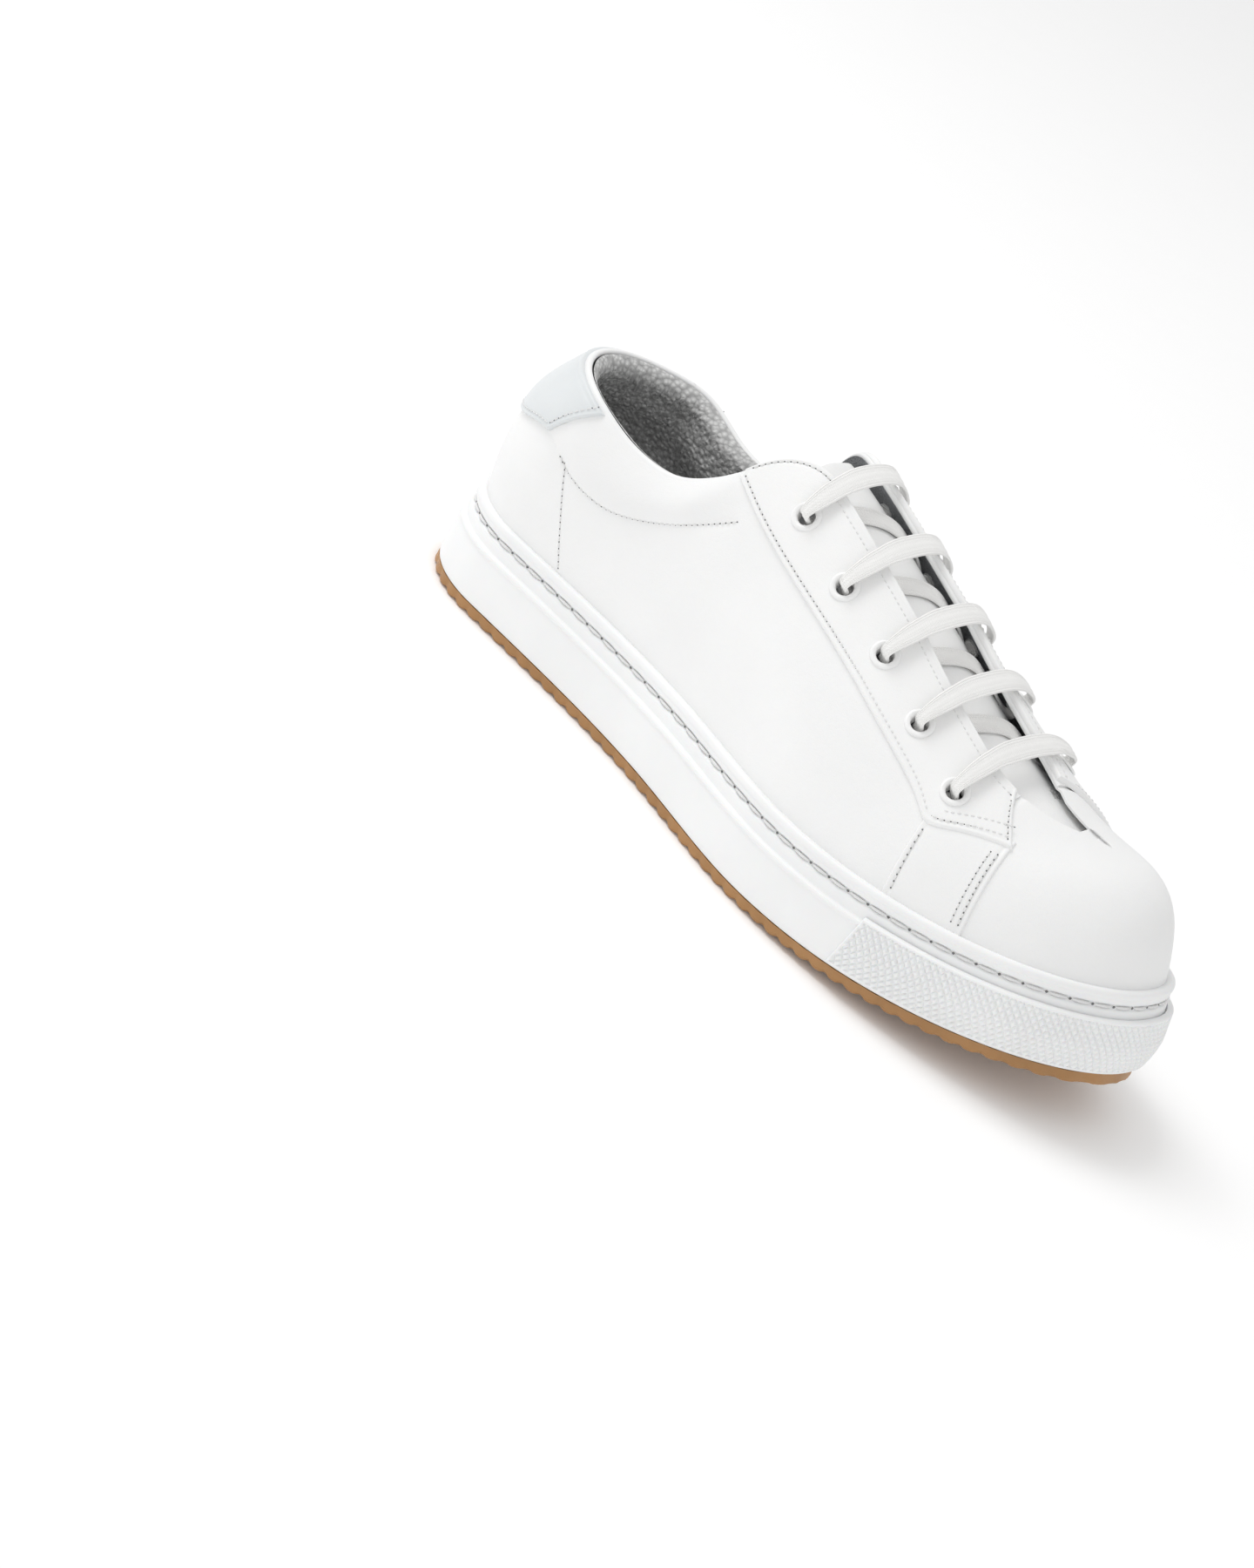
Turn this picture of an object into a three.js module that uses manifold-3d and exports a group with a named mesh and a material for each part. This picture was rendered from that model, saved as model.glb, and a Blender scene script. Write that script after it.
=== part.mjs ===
// Low court-style lace-up shoe, right foot, with a stitched cup sole and a gum outsole.
// Millimetres. +X runs from heel to toe, +Y is the inner side of the foot, +Z is up.
// The tread stands on z = 0 and the origin lies under the middle of the shoe's length.
import * as THREE from "three";
import { mergeVertices } from "three/addons/utils/BufferGeometryUtils.js";
import Module from "manifold-3d";

// ---------- driving dimensions ----------
const LENGTH = 300; // outsole, heel to toe
const HEEL_CAP = 38; // depth of the rounded heel end of the outline
const TOE_CAP = 100; // depth of the rounded toe end
const TOE_POWER = 2.2; // fullness of the toe
const TOE_RISE = 18; // the toe's lift off the ground
const RISE_START = 170; // where the lift begins

const GUM_TOP = 3.5; // gum outsole thickness
const GROOVE_DEPTH = 1.9;
const GROOVE_WIDTH = 3;
const GROOVE_PITCH = 12.6;
const CHEVRON_LENGTH = 24; // one zigzag of the tread, across the shoe
const TREAD_BORDER = 5;
const PLAQUE = [37, 13]; // plain pad in the waist of the tread

const CUP_BOTTOM = 3.8;
const CUP_FLOOR = 9;
const CUP_TOP = 32.7;
const CUP_WALL = 5.1;
const CHANNEL_Z = 26.6; // height of the sole stitching
const THREAD_RADIUS = 0.5;
const BUMPER_FROM = 222; // the toe band starts behind the ball of the foot
const BUMPER_TOP = 23.4;

const UPPER_INSET = 5.6; // the upper stands this far inside the outline
const UPPER_BASE = 15; // the lasted edge of the upper
const SPINE_FROM = 52; // the crown line of the last starts and ends here
const SPINE_TO = 262;
const GAP = 0.6; // air between neighbouring layers
const OVERLAY = 1; // thickness of the pieces sewn on top
const LEATHER = 1.2;
const LINING = 0.8;
const FOAM = 4.6;

const FACING_FROM = 93; // the collar ends and the facings begin
const THROAT_HALF = 11.75; // half the opening between the facings
const THROAT_SHIFT = 1.75; // and how far it leans to the outer side
const THROAT_TIP = 262;
const EYELET_X = [222, 196, 169, 144.5, 119.5]; // from the toe end to the top
const EYELET_OFFSET = [18.5, 17, 16.5, 16.5, 15]; // eyelet centre to the facing's throat edge
const EYELET_FLANGE = 5;
const EYELET_HOLE = 2.8;
const LACE_WIDTH = 7.6;
const LACE_THICKNESS = 1.4;
const TAIL_DROP = 29; // the tucked ends lie this far below the throat edge

// ---------- curves ----------
// Natural cubic spline through (x, y) stations, held constant past both ends.
function spline(stations) {
  const x = stations.map((s) => s[0]);
  const y = stations.map((s) => s[1]);
  const n = x.length;
  const bend = new Array(n).fill(0);
  const ratio = new Array(n).fill(0);
  const rest = new Array(n).fill(0);
  for (let i = 1; i < n - 1; i++) {
    const before = x[i] - x[i - 1];
    const after = x[i + 1] - x[i];
    const turn = 6 * ((y[i + 1] - y[i]) / after - (y[i] - y[i - 1]) / before);
    const pivot = 2 * (before + after) - before * ratio[i - 1];
    ratio[i] = after / pivot;
    rest[i] = (turn - before * rest[i - 1]) / pivot;
  }
  for (let i = n - 2; i > 0; i--) bend[i] = rest[i] - ratio[i] * bend[i + 1];
  return (at) => {
    const s = Math.min(Math.max(at, x[0]), x[n - 1]);
    let i = 0;
    while (i < n - 2 && s > x[i + 1]) i++;
    const d = x[i + 1] - x[i];
    const p = (x[i + 1] - s) / d;
    const q = (s - x[i]) / d;
    const cubic = (p ** 3 - p) * bend[i] + (q ** 3 - q) * bend[i + 1];
    return p * y[i] + q * y[i + 1] + (cubic * d * d) / 6;
  };
}

const centreLine = spline([
  [0, 0], [45, 0], [90, -1.5], [130, -3.5], [170, -4.5], [212, 0], [254, 3.2], [300, 7],
]);
const halfWidth = spline([
  [0, 38], [45, 38], [90, 37], [130, 39.5], [170, 47], [207, 52], [244, 52.5], [300, 54],
]);
const crownHeight = spline([
  [0, 128], [60, 124], [100, 117.5], [122, 112], [147, 104], [171, 96], [196, 87], [222, 77], [251, 67],
  [275, 64], [300, 63],
]);
const crownShift = spline([[0, 0], [60, 1], [122, 3], [170, 5], [213, 6], [300, 7]]);
const wallFullness = spline([
  [0, 3], [80, 3.2], [122, 3], [170, 2.2], [215, 2.1], [250, 2.7], [275, 3.6], [300, 4.4],
]);
const toplineHeight = spline([
  [0, 88], [13, 87.5], [30, 86.5], [42, 84], [54, 81.3], [66, 80.8], [75, 82.5], [84, 88], [91, 95],
  [93, 97.5],
]);

const clamp = (value, low, high) => Math.min(Math.max(value, low), high);
const smoothstep = (value, low, high) => {
  const t = clamp((value - low) / (high - low), 0, 1);
  return t * t * (3 - 2 * t);
};
const mix = (from, to, t) => from + (to - from) * t;
const stationX = (a) => (LENGTH * (1 - Math.cos(Math.PI * a))) / 2;
const stationA = (x) => Math.acos(1 - (2 * x) / LENGTH) / Math.PI;

// Everything is drawn on a flat sole, then this bends the forefoot up, sections staying square to it.
function toeSpring(p) {
  const into = Math.max(p.x - RISE_START, 0) / (LENGTH - RISE_START);
  const tilt = Math.atan((2 * TOE_RISE * into) / (LENGTH - RISE_START));
  const rise = TOE_RISE * into ** 2;
  return new THREE.Vector3(p.x - p.z * Math.sin(tilt), p.y, rise + p.z * Math.cos(tilt));
}

function endCap(x) {
  if (x < HEEL_CAP) return Math.sqrt(1 - (1 - x / HEEL_CAP) ** 2);
  const into = (x - (LENGTH - TOE_CAP)) / TOE_CAP;
  return into > 0 ? Math.max(1 - Math.min(into, 1) ** TOE_POWER, 0) ** (1 / TOE_POWER) : 1;
}

// The outsole's outline: a runs 0 at the heel to 1 at the toe, side is -1 outer or +1 inner.
function outlinePoint(a, side) {
  const x = stationX(a);
  return [x, centreLine(x) + side * halfWidth(x) * endCap(x)];
}

function outlineFrame(a, side, inset) {
  const [x, y] = outlinePoint(a, side);
  const [x0, y0] = outlinePoint(Math.max(a - 1e-4, 0), side);
  const [x1, y1] = outlinePoint(Math.min(a + 1e-4, 1), side);
  const run = Math.hypot(x1 - x0, y1 - y0);
  const nx = (-side * (y1 - y0)) / run;
  const ny = (side * (x1 - x0)) / run;
  return { x: x - nx * inset, y: y - ny * inset, nx, ny };
}

// ---------- the last: one smooth surface that every layer of the upper follows ----------
const spineX = (a) => {
  const x = stationX(a);
  const soft = 12;
  const low = SPINE_FROM + soft * Math.log1p(Math.exp((x - SPINE_FROM) / soft));
  return SPINE_TO - soft * Math.log1p(Math.exp((SPINE_TO - low) / soft));
};

function lastPoint(a, side, v) {
  const foot = outlineFrame(a, side, UPPER_INSET);
  const crownX = spineX(a);
  const psi = (clamp(v, 0, 1) * Math.PI) / 2;
  const across = 1 - Math.max(Math.cos(psi), 0) ** (2 / wallFullness(foot.x));
  const rise = Math.sin(psi) ** (2 / 2.2);
  // The wall bulges a little, most of all round the back of the heel.
  const away = smoothstep(foot.x, 8, 80);
  const fade = smoothstep(v, mix(0.27, 0.45, away), mix(0.45, 0.95, away));
  const bulge = smoothstep(v, 0.06, mix(0.24, 0.35, away)) * (1 - fade);
  const swell = mix(6.5, 2.2, away) * bulge;
  const x = mix(foot.x, crownX, across) + foot.nx * swell;
  const y = mix(foot.y, crownShift(crownX), across) + foot.ny * swell;
  return new THREE.Vector3(x, y, mix(UPPER_BASE, crownHeight(x), rise));
}

// The last's outward normal; on the crown line both sides share one.
function lastNormal(a, side, v) {
  if (v > 1 - 1e-6) return lastNormal(a, -1, 0.999).add(lastNormal(a, 1, 0.999)).normalize();
  const e = 2e-3;
  const v0 = clamp(v - e, 0, 1 - 4 * e);
  const v1 = clamp(v + e, 2 * e, 1 - 2 * e);
  const a0 = clamp(a, 0.004, 0.996);
  const alongA = lastPoint(a0 + e, side, v0).sub(lastPoint(a0 - e, side, v0));
  const alongV = lastPoint(a0, side, v1).sub(lastPoint(a0, side, v0));
  return alongA.cross(alongV).multiplyScalar(-side).normalize();
}

const layerPoint = (a, side, v, offset) =>
  toeSpring(lastPoint(a, side, v).addScaledVector(lastNormal(a, side, v), offset));

// The parameter v at which the last reaches a height, or a sideways distance from the crown.
function solveV(test) {
  let low = 0;
  let high = 1;
  for (let i = 0; i < 30; i++) {
    const middle = (low + high) / 2;
    if (test(middle)) low = middle;
    else high = middle;
  }
  return (low + high) / 2;
}
const vAtHeight = (a, side, z) => solveV((v) => lastPoint(a, side, v).z < z);
const vAtHalf = (a, side, half) => solveV((v) => side * lastPoint(a, side, v).y > half);

// The upper's free edge: collar, top of the facing, then the throat down to its tip.
function edgeV(a, side) {
  const x = clamp(stationX(a), 0, THROAT_TIP);
  if (x < FACING_FROM) return vAtHeight(a, side, toplineHeight(x));
  const straight = THROAT_HALF - side * THROAT_SHIFT;
  const turn = Math.sin((clamp((x - FACING_FROM) / 24, 0, 1) * Math.PI) / 2);
  const half = x < FACING_FROM + 24 ? mix(26.5, straight, turn) : straight;
  return vAtHalf(stationA(x), side, half * Math.sqrt(1 - smoothstep(x, 222, THROAT_TIP)));
}

// ---------- mesh building ----------
const wasm = await Module();
wasm.setup();

function closedGeometry(triangles) {
  const geometry = new THREE.BufferGeometry();
  const flat = new Float32Array(triangles.length * 3);
  triangles.forEach((p, i) => flat.set([p.x, p.y, p.z], 3 * i));
  geometry.setAttribute("position", new THREE.BufferAttribute(flat, 3));
  const welded = mergeVertices(geometry, 2e-3);
  const index = [...welded.index.array];
  // Collapsed triangles go, and so do two walls that meet back to back.
  const walls = new Map();
  for (let i = 0; i < index.length; i += 3) {
    const face = index.slice(i, i + 3);
    if (new Set(face).size < 3) continue;
    const key = [...face].sort((m, n) => m - n).join();
    if (walls.has(key)) walls.delete(key);
    else walls.set(key, face);
  }
  welded.setIndex([...walls.values()].flat());
  return outward(welded);
}

function outward(geometry) {
  const position = geometry.attributes.position;
  const index = geometry.index.array;
  const p = [new THREE.Vector3(), new THREE.Vector3(), new THREE.Vector3()];
  let volume = 0;
  for (let i = 0; i < index.length; i += 3) {
    for (let k = 0; k < 3; k++) p[k].fromBufferAttribute(position, index[i + k]);
    volume += p[0].dot(p[1].clone().cross(p[2]));
  }
  if (volume < 0) {
    for (let i = 0; i < index.length; i += 3) {
      [index[i + 1], index[i + 2]] = [index[i + 2], index[i + 1]];
    }
  }
  return geometry;
}

// Two matching grids of points joined by walls along their four edges.
function slab(upper, lower) {
  const out = [];
  const quad = (p, q, r, s) => {
    if (p.distanceTo(r) < q.distanceTo(s)) out.push(p, q, r, p, r, s);
    else out.push(p, q, s, q, r, s);
  };
  const rows = upper.length;
  const columns = upper[0].length;
  for (let i = 0; i < rows - 1; i++) {
    for (let j = 0; j < columns - 1; j++) {
      quad(upper[i][j], upper[i + 1][j], upper[i + 1][j + 1], upper[i][j + 1]);
      quad(lower[i][j], lower[i][j + 1], lower[i + 1][j + 1], lower[i + 1][j]);
    }
  }
  for (let i = 0; i < rows - 1; i++) {
    quad(upper[i][0], lower[i][0], lower[i + 1][0], upper[i + 1][0]);
    quad(upper[i + 1][columns - 1], lower[i + 1][columns - 1], lower[i][columns - 1], upper[i][columns - 1]);
  }
  for (let j = 0; j < columns - 1; j++) {
    quad(upper[0][j + 1], lower[0][j + 1], lower[0][j], upper[0][j]);
    quad(upper[rows - 1][j], lower[rows - 1][j], lower[rows - 1][j + 1], upper[rows - 1][j + 1]);
  }
  return closedGeometry(out);
}

// A layer of the upper: place(u, t) gives {a, side, v}, and its faces lie at two offsets from the last.
function layer(count, rows, place, outer, inner) {
  const grid = (offset) => {
    const lines = [];
    for (let i = 0; i <= count; i++) {
      const line = [];
      for (let j = 0; j <= rows; j++) {
        const { a, side, v } = place(i / count, j / rows);
        const depth = typeof offset === "function" ? offset(a, side, v) : offset;
        line.push(layerPoint(a, side, v, depth));
      }
      lines.push(line);
    }
    return lines;
  };
  return slab(grid(outer), grid(inner));
}

// Stations that run from the outer side to the inner side, round the toe or round the heel.
const roundToe = (x) => {
  const a0 = stationA(x);
  return (u) => (u < 0.5 ? { a: mix(a0, 1, 2 * u), side: -1 } : { a: mix(1, a0, 2 * u - 1), side: 1 });
};
const roundHeel = (x) => {
  const a0 = stationA(x);
  return (u) => (u < 0.5 ? { a: mix(a0, 0, 2 * u), side: -1 } : { a: mix(0, a0, 2 * u - 1), side: 1 });
};

// A solid round the sole: rings of (inset, height) from the middle of its base up and over.
function soleSolid(rings, count, place = toeSpring) {
  const ringAt = (inset, z) => {
    const points = [];
    for (let i = 0; i < 2 * count; i++) {
      const side = i < count ? -1 : 1;
      const a = i < count ? i / count : 2 - i / count;
      if (inset === null) {
        const x = clamp(stationX(a), 30, LENGTH - 46);
        points.push(place(new THREE.Vector3(x, centreLine(x), z)));
      } else {
        const f = outlineFrame(a, side, inset);
        points.push(place(new THREE.Vector3(f.x, f.y, z)));
      }
    }
    return points;
  };
  const loops = rings.map(([inset, z]) => ringAt(inset, z));
  const out = [];
  for (let k = 0; k < loops.length - 1; k++) {
    for (let i = 0; i < 2 * count; i++) {
      const j = (i + 1) % (2 * count);
      out.push(loops[k][i], loops[k][j], loops[k + 1][j], loops[k][i], loops[k + 1][j], loops[k + 1][i]);
    }
  }
  return closedGeometry(out);
}

const solidFrom = (geometry) =>
  new wasm.Manifold(
    new wasm.Mesh({
      numProp: 3,
      vertProperties: new Float32Array(geometry.attributes.position.array),
      triVerts: new Uint32Array(geometry.index.array),
    }),
  );

function geometryFrom(solid) {
  const mesh = solid.getMesh();
  const geometry = new THREE.BufferGeometry();
  geometry.setAttribute("position", new THREE.BufferAttribute(mesh.vertProperties, 3));
  geometry.setIndex(new THREE.BufferAttribute(mesh.triVerts, 1));
  return geometry;
}

// ---------- eyelet places ----------
// The parameter v at a distance down the surface from the throat edge.
function vBelowEdge(a, side, distance) {
  const edge = lastPoint(a, side, edgeV(a, side));
  return solveV((t) => {
    const p = lastPoint(a, side, t);
    return Math.hypot(p.y - edge.y, p.z - edge.z) > distance;
  });
}

function eyeletPlace(side, index) {
  const a = stationA(EYELET_X[index]);
  const v = vBelowEdge(a, side, EYELET_OFFSET[index]);
  const centre = layerPoint(a, side, v, 0);
  const normal = layerPoint(a, side, v, 1).sub(centre).normalize();
  return { a, v, side, centre, normal };
}
const eyelets = [-1, 1].flatMap((side) => EYELET_X.map((_, i) => eyeletPlace(side, i)));

// A three.js solid with its seams joined, keeping only the positions.
const bare = (geometry) => mergeVertices(geometry.deleteAttribute("normal").deleteAttribute("uv"), 1e-4);

function turned(geometry, place) {
  const turn = new THREE.Quaternion().setFromUnitVectors(new THREE.Vector3(0, 1, 0), place.normal);
  return geometry.applyQuaternion(turn).translate(place.centre.x, place.centre.y, place.centre.z);
}

function pierce(geometry, side, radius) {
  let solid = solidFrom(geometry);
  for (const place of eyelets.filter((e) => e.side === side)) {
    const drill = bare(new THREE.CylinderGeometry(radius, radius, 14, 10));
    solid = solid.subtract(solidFrom(outward(turned(drill, place))));
  }
  return geometryFrom(solid);
}

// ---------- assembly ----------
const shoe = new THREE.Group();
shoe.position.x = -LENGTH / 2;
const root = new THREE.Group();
root.add(shoe);

const finish = (color, roughness, metalness = 0) =>
  new THREE.MeshStandardMaterial({ color, roughness, metalness });
const add = (name, geometry, material) => {
  const mesh = new THREE.Mesh(geometry, material);
  mesh.name = name;
  shoe.add(mesh);
};
const sideName = (side) => (side < 0 ? "lateral" : "medial");
const whiteLeather = () => finish(0xf1f1ee, 0.5);
const greyTextile = () => finish(0x8f9194, 0.95);
const whiteFoam = () => finish(0xe9e6dc, 0.9);

// Gum outsole with a zigzag tread, plain at its border and under the waist.
function treadCutters() {
  const cutters = [];
  const legs = 6;
  const half = CHEVRON_LENGTH / 2;
  for (let x = 14; x < LENGTH - 10; x += GROOVE_PITCH) {
    const profile = [];
    for (let k = -legs; k <= legs; k++) profile.push([x + (k % 2 === 0 ? 0 : half / 2), k * half]);
    const shape = new THREE.Shape();
    profile.forEach(([px, py], i) => (i ? shape.lineTo(px, py) : shape.moveTo(px, py)));
    for (const [px, py] of [...profile].reverse()) shape.lineTo(px + GROOVE_WIDTH, py);
    cutters.push(shape);
  }
  return cutters;
}

function outsole() {
  const flat = (p) => p;
  const edge = [[null, 0], [2, 0], [0.8, 1.2], [0.8, GUM_TOP], [null, GUM_TOP]];
  const body = solidFrom(soleSolid(edge, 44, flat));
  const field = solidFrom(
    soleSolid(
      [[null, -1], [TREAD_BORDER, -1], [TREAD_BORDER, GROOVE_DEPTH], [null, GROOVE_DEPTH]],
      36,
      flat,
    ),
  );
  const waist = solidFrom(
    bare(new THREE.BoxGeometry(PLAQUE[0] + 10, 120, 12)).translate(LENGTH / 2, 0, 0),
  );
  let grooves = null;
  for (const shape of treadCutters()) {
    const bar = new THREE.ExtrudeGeometry(shape, { depth: 4, bevelEnabled: false }).translate(0, 0, -2);
    const one = solidFrom(outward(bare(bar)));
    grooves = grooves ? grooves.add(one) : one;
  }
  const cut = body.subtract(grooves.intersect(field).subtract(waist));
  const geometry = geometryFrom(cut);
  const position = geometry.attributes.position;
  for (let i = 0; i < position.count; i++) {
    const p = toeSpring(new THREE.Vector3().fromBufferAttribute(position, i));
    position.setXYZ(i, p.x, p.y, p.z);
  }
  return geometry;
}
add("outsole_gum", outsole(), finish(0xa9743c, 0.45));

// White cup sole: bowed foot, smooth lower wall, stitched channel and rounded rim.
const cupProfile = [
  [null, CUP_BOTTOM], [0.9, CUP_BOTTOM], [0.1, 5.6], [0, 12], [0.2, 20.4], [0.5, 21.2], [1.5, 21.6],
  [1.6, 29], [1.2, 30], [1.7, 31.6], [3, CUP_TOP], [4.4, CUP_TOP - 0.7], [CUP_WALL, CUP_TOP - 2.2],
  [CUP_WALL, CUP_FLOOR], [null, CUP_FLOOR],
];
add("cupsole", soleSolid(cupProfile, 32), finish(0xf4f4f2, 0.55));
add("midsole_foam", soleSolid([[null, 9.3], [5.8, 9.3], [5.8, 12.1], [null, 12.1]], 30), whiteFoam());
const boardProfile = [[null, 12.5], [6.2, 12.5], [6.2, 14.5], [null, 14.5]];
add("lasting_board", soleSolid(boardProfile, 30), finish(0xb79f7c, 0.9));
const footbedInset = 12.4;
add(
  "footbed_foam",
  soleSolid([[null, 15.2], [footbedInset + 0.6, 15.2], [footbedInset, 19.4], [null, 19.4]], 30),
  finish(0x2a2b2d, 0.9),
);
add(
  "footbed_cover",
  soleSolid([[null, 19.7], [footbedInset, 19.7], [footbedInset + 0.4, 20.8], [null, 20.8]], 30),
  finish(0x1b1b1d, 0.85),
);

// The ribbed band round the toe of the cup sole.
function toeBumper() {
  const profile = [
    [-0.3, 5], [-1.2, 6], [-1.2, BUMPER_TOP - 0.5], [-0.5, BUMPER_TOP], [0.9, BUMPER_TOP], [1.2, 21.9],
    [0.1, 21.4], [-0.3, 20.4],
  ];
  const count = 34;
  const station = roundToe(BUMPER_FROM);
  const ring = (i) => {
    const { a, side } = station(i / count);
    return profile.map(([inset, z]) => {
      const f = outlineFrame(a, side, inset);
      return toeSpring(new THREE.Vector3(f.x, f.y, z));
    });
  };
  const out = [];
  const n = profile.length;
  let last = ring(0);
  const cap = (points, flip) => {
    for (let k = 1; k < n - 1; k++) {
      out.push(points[0], points[flip ? k + 1 : k], points[flip ? k : k + 1]);
    }
  };
  cap(last, true);
  for (let i = 1; i <= count; i++) {
    const next = ring(i);
    for (let k = 0; k < n; k++) {
      const m = (k + 1) % n;
      out.push(last[k], last[m], next[m], last[k], next[m], next[k]);
    }
    last = next;
  }
  cap(last, false);
  return closedGeometry(out);
}
add("toe_bumper", toeBumper(), finish(0xf2f2f0, 0.6));

// One thread all round, lying in the channel.
function soleThread() {
  const points = [];
  const count = 48;
  for (let i = 0; i < 2 * count; i++) {
    const side = i < count ? -1 : 1;
    const a = i < count ? i / count : 2 - i / count;
    const f = outlineFrame(a, side, 1.55 - THREAD_RADIUS - 0.45);
    points.push(toeSpring(new THREE.Vector3(f.x, f.y, CHANNEL_Z)));
  }
  const path = new THREE.CatmullRomCurve3(points, true);
  return bare(new THREE.TubeGeometry(path, 96, THREAD_RADIUS, 5, true));
}
add("sole_stitch_thread", soleThread(), finish(0xf7f7f5, 0.7));

// ---------- the upper ----------
const QUARTER_FRONT = 236;
const COLLAR_FRONT = 92;
const baseV = (a, side) => vAtHeight(a, side, UPPER_BASE + 0.6);
const rimV = (a, side) => vAtHeight(a, side, CUP_TOP + 1);
const closedEdgeV = (a, side) => (stationX(a) > THROAT_TIP ? 1 : edgeV(a, side));
const heelSeamX = (t) => mix(68, 24, t);
const stayOuterHeight = spline([
  [93, 95.6], [107, 90], [121, 85.7], [152.4, 78.2], [179.7, 70.7], [204, 62.8], [216.4, 57.2], [221, 54.8],
  [229, 55.6], [240, 57.6], [251, 58.3],
]);
const stayOuterV = (a, side) => vAtHeight(a, side, stayOuterHeight(stationX(a)));

const vampPlace = (from, low) => (u, t) => {
  const { a, side } = roundToe(from)(u);
  return { a, side, v: mix(low(a, side), closedEdgeV(a, side), t) };
};
add("vamp", layer(28, 7, vampPlace(QUARTER_FRONT + 1.2, baseV), 0, -LEATHER), whiteLeather());
add(
  "vamp_lining",
  layer(28, 6, vampPlace(QUARTER_FRONT + 1.2, baseV), -3.6, -3.6 - LINING),
  greyTextile(),
);
const puffPlace = (u, t) => {
  const { a, side } = roundToe(262)(u);
  return { a, side, v: mix(baseV(a, side), 0.62, t) };
};
add("toe_puff", layer(16, 4, puffPlace, -LEATHER - GAP, -LEATHER - GAP - 1), finish(0xd8cdb8, 0.9));

for (const side of [-1, 1]) {
  const quarterPlace = (u, t) => {
    const a = stationA(mix(heelSeamX(t), QUARTER_FRONT, u));
    return { a, side, v: mix(baseV(a, side), edgeV(a, side), t) };
  };
  const quarter = layer(17, 7, quarterPlace, 0, -LEATHER);
  add("quarter_" + sideName(side), pierce(quarter, side, 3.7), whiteLeather());

  const liningPlace = (u, t) => {
    const a = stationA(mix(COLLAR_FRONT + 1.5, QUARTER_FRONT - 0.5, u));
    return { a, side, v: mix(baseV(a, side), edgeV(a, side) - 0.03, t) };
  };
  const lining = layer(17, 7, liningPlace, -LEATHER - GAP - 0.4, -LEATHER - GAP - 0.4 - LINING);
  add("quarter_lining_" + sideName(side), pierce(lining, side, 3.7), greyTextile());

  const stayPlace = (u, t) => {
    const a = stationA(mix(FACING_FROM + 1, mix(250.5, 234, t), u));
    return { a, side, v: mix(stayOuterV(a, side), edgeV(a, side), t) };
  };
  const stay = layer(17, 4, stayPlace, GAP + 0.3 + OVERLAY, GAP + 0.3);
  add("eyestay_" + sideName(side), pierce(stay, side, 3.7), whiteLeather());

  const wingPlace = (u, t) => {
    const a = stationA(mix(mix(224, 220.5, t), mix(252, 249, t), u));
    return { a, side, v: mix(rimV(a, side), stayOuterV(a, side) - 0.012, t) };
  };
  add("wing_" + sideName(side), layer(4, 4, wingPlace, GAP + 0.2 + OVERLAY, GAP + 0.2), whiteLeather());
}

const heelPlace = (u, t) => {
  const { a, side } = roundHeel(heelSeamX(t) - 1)(u);
  return { a, side, v: mix(baseV(a, side), edgeV(a, side), t) };
};
add("heel_panel", layer(20, 6, heelPlace, 0, -LEATHER), whiteLeather());

const tabPlace = (u, t) => {
  const { a, side } = roundHeel(mix(28, 42, t))(u);
  const low = vAtHeight(a, side, mix(59.5, 66.3, smoothstep(stationX(a), 2, 28)));
  return { a, side, v: mix(low, edgeV(a, side) - 0.004, t) };
};
add("heel_tab", layer(16, 4, tabPlace, GAP + OVERLAY, GAP), finish(0xdfe2e3, 0.4));

const collarDrop = 24; // how far the padding reaches below the topline
const paddingV = (a, side) => vAtHeight(a, side, toplineHeight(stationX(a)) - collarDrop);
const paddingDepth = (a) => FOAM * (1 - 0.72 * smoothstep(stationX(a), 60, COLLAR_FRONT));
const foamPlace = (u, t) => {
  const { a, side } = roundHeel(COLLAR_FRONT)(u);
  return { a, side, v: mix(paddingV(a, side), edgeV(a, side) - 0.012, t) };
};
const foamFace = -LEATHER - GAP;
add("collar_foam", layer(24, 3, foamPlace, foamFace, (a) => foamFace - paddingDepth(a)), whiteFoam());

const counterPlace = (u, t) => {
  const { a, side } = roundHeel(66)(u);
  return { a, side, v: mix(baseV(a, side), paddingV(a, side) - 0.02, t) };
};
add("heel_counter", layer(18, 3, counterPlace, foamFace, foamFace - 1.4), finish(0xcdbfa4, 0.9));

// The collar's lining covers the padding, then runs down inside the counter to the footbed.
const collarLiningFace = (a, side, v) => {
  const low = paddingV(a, side);
  const padded = smoothstep(v, low - 0.1, low - 0.02);
  return foamFace - mix(1.9, paddingDepth(a) + GAP, padded);
};
const collarLiningPlace = (u, t) => {
  const { a, side } = roundHeel(COLLAR_FRONT)(u);
  return { a, side, v: mix(baseV(a, side), edgeV(a, side), t) };
};
add(
  "collar_lining",
  layer(26, 7, collarLiningPlace, collarLiningFace, (a, side, v) => collarLiningFace(a, side, v) - LINING),
  greyTextile(),
);

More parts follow.
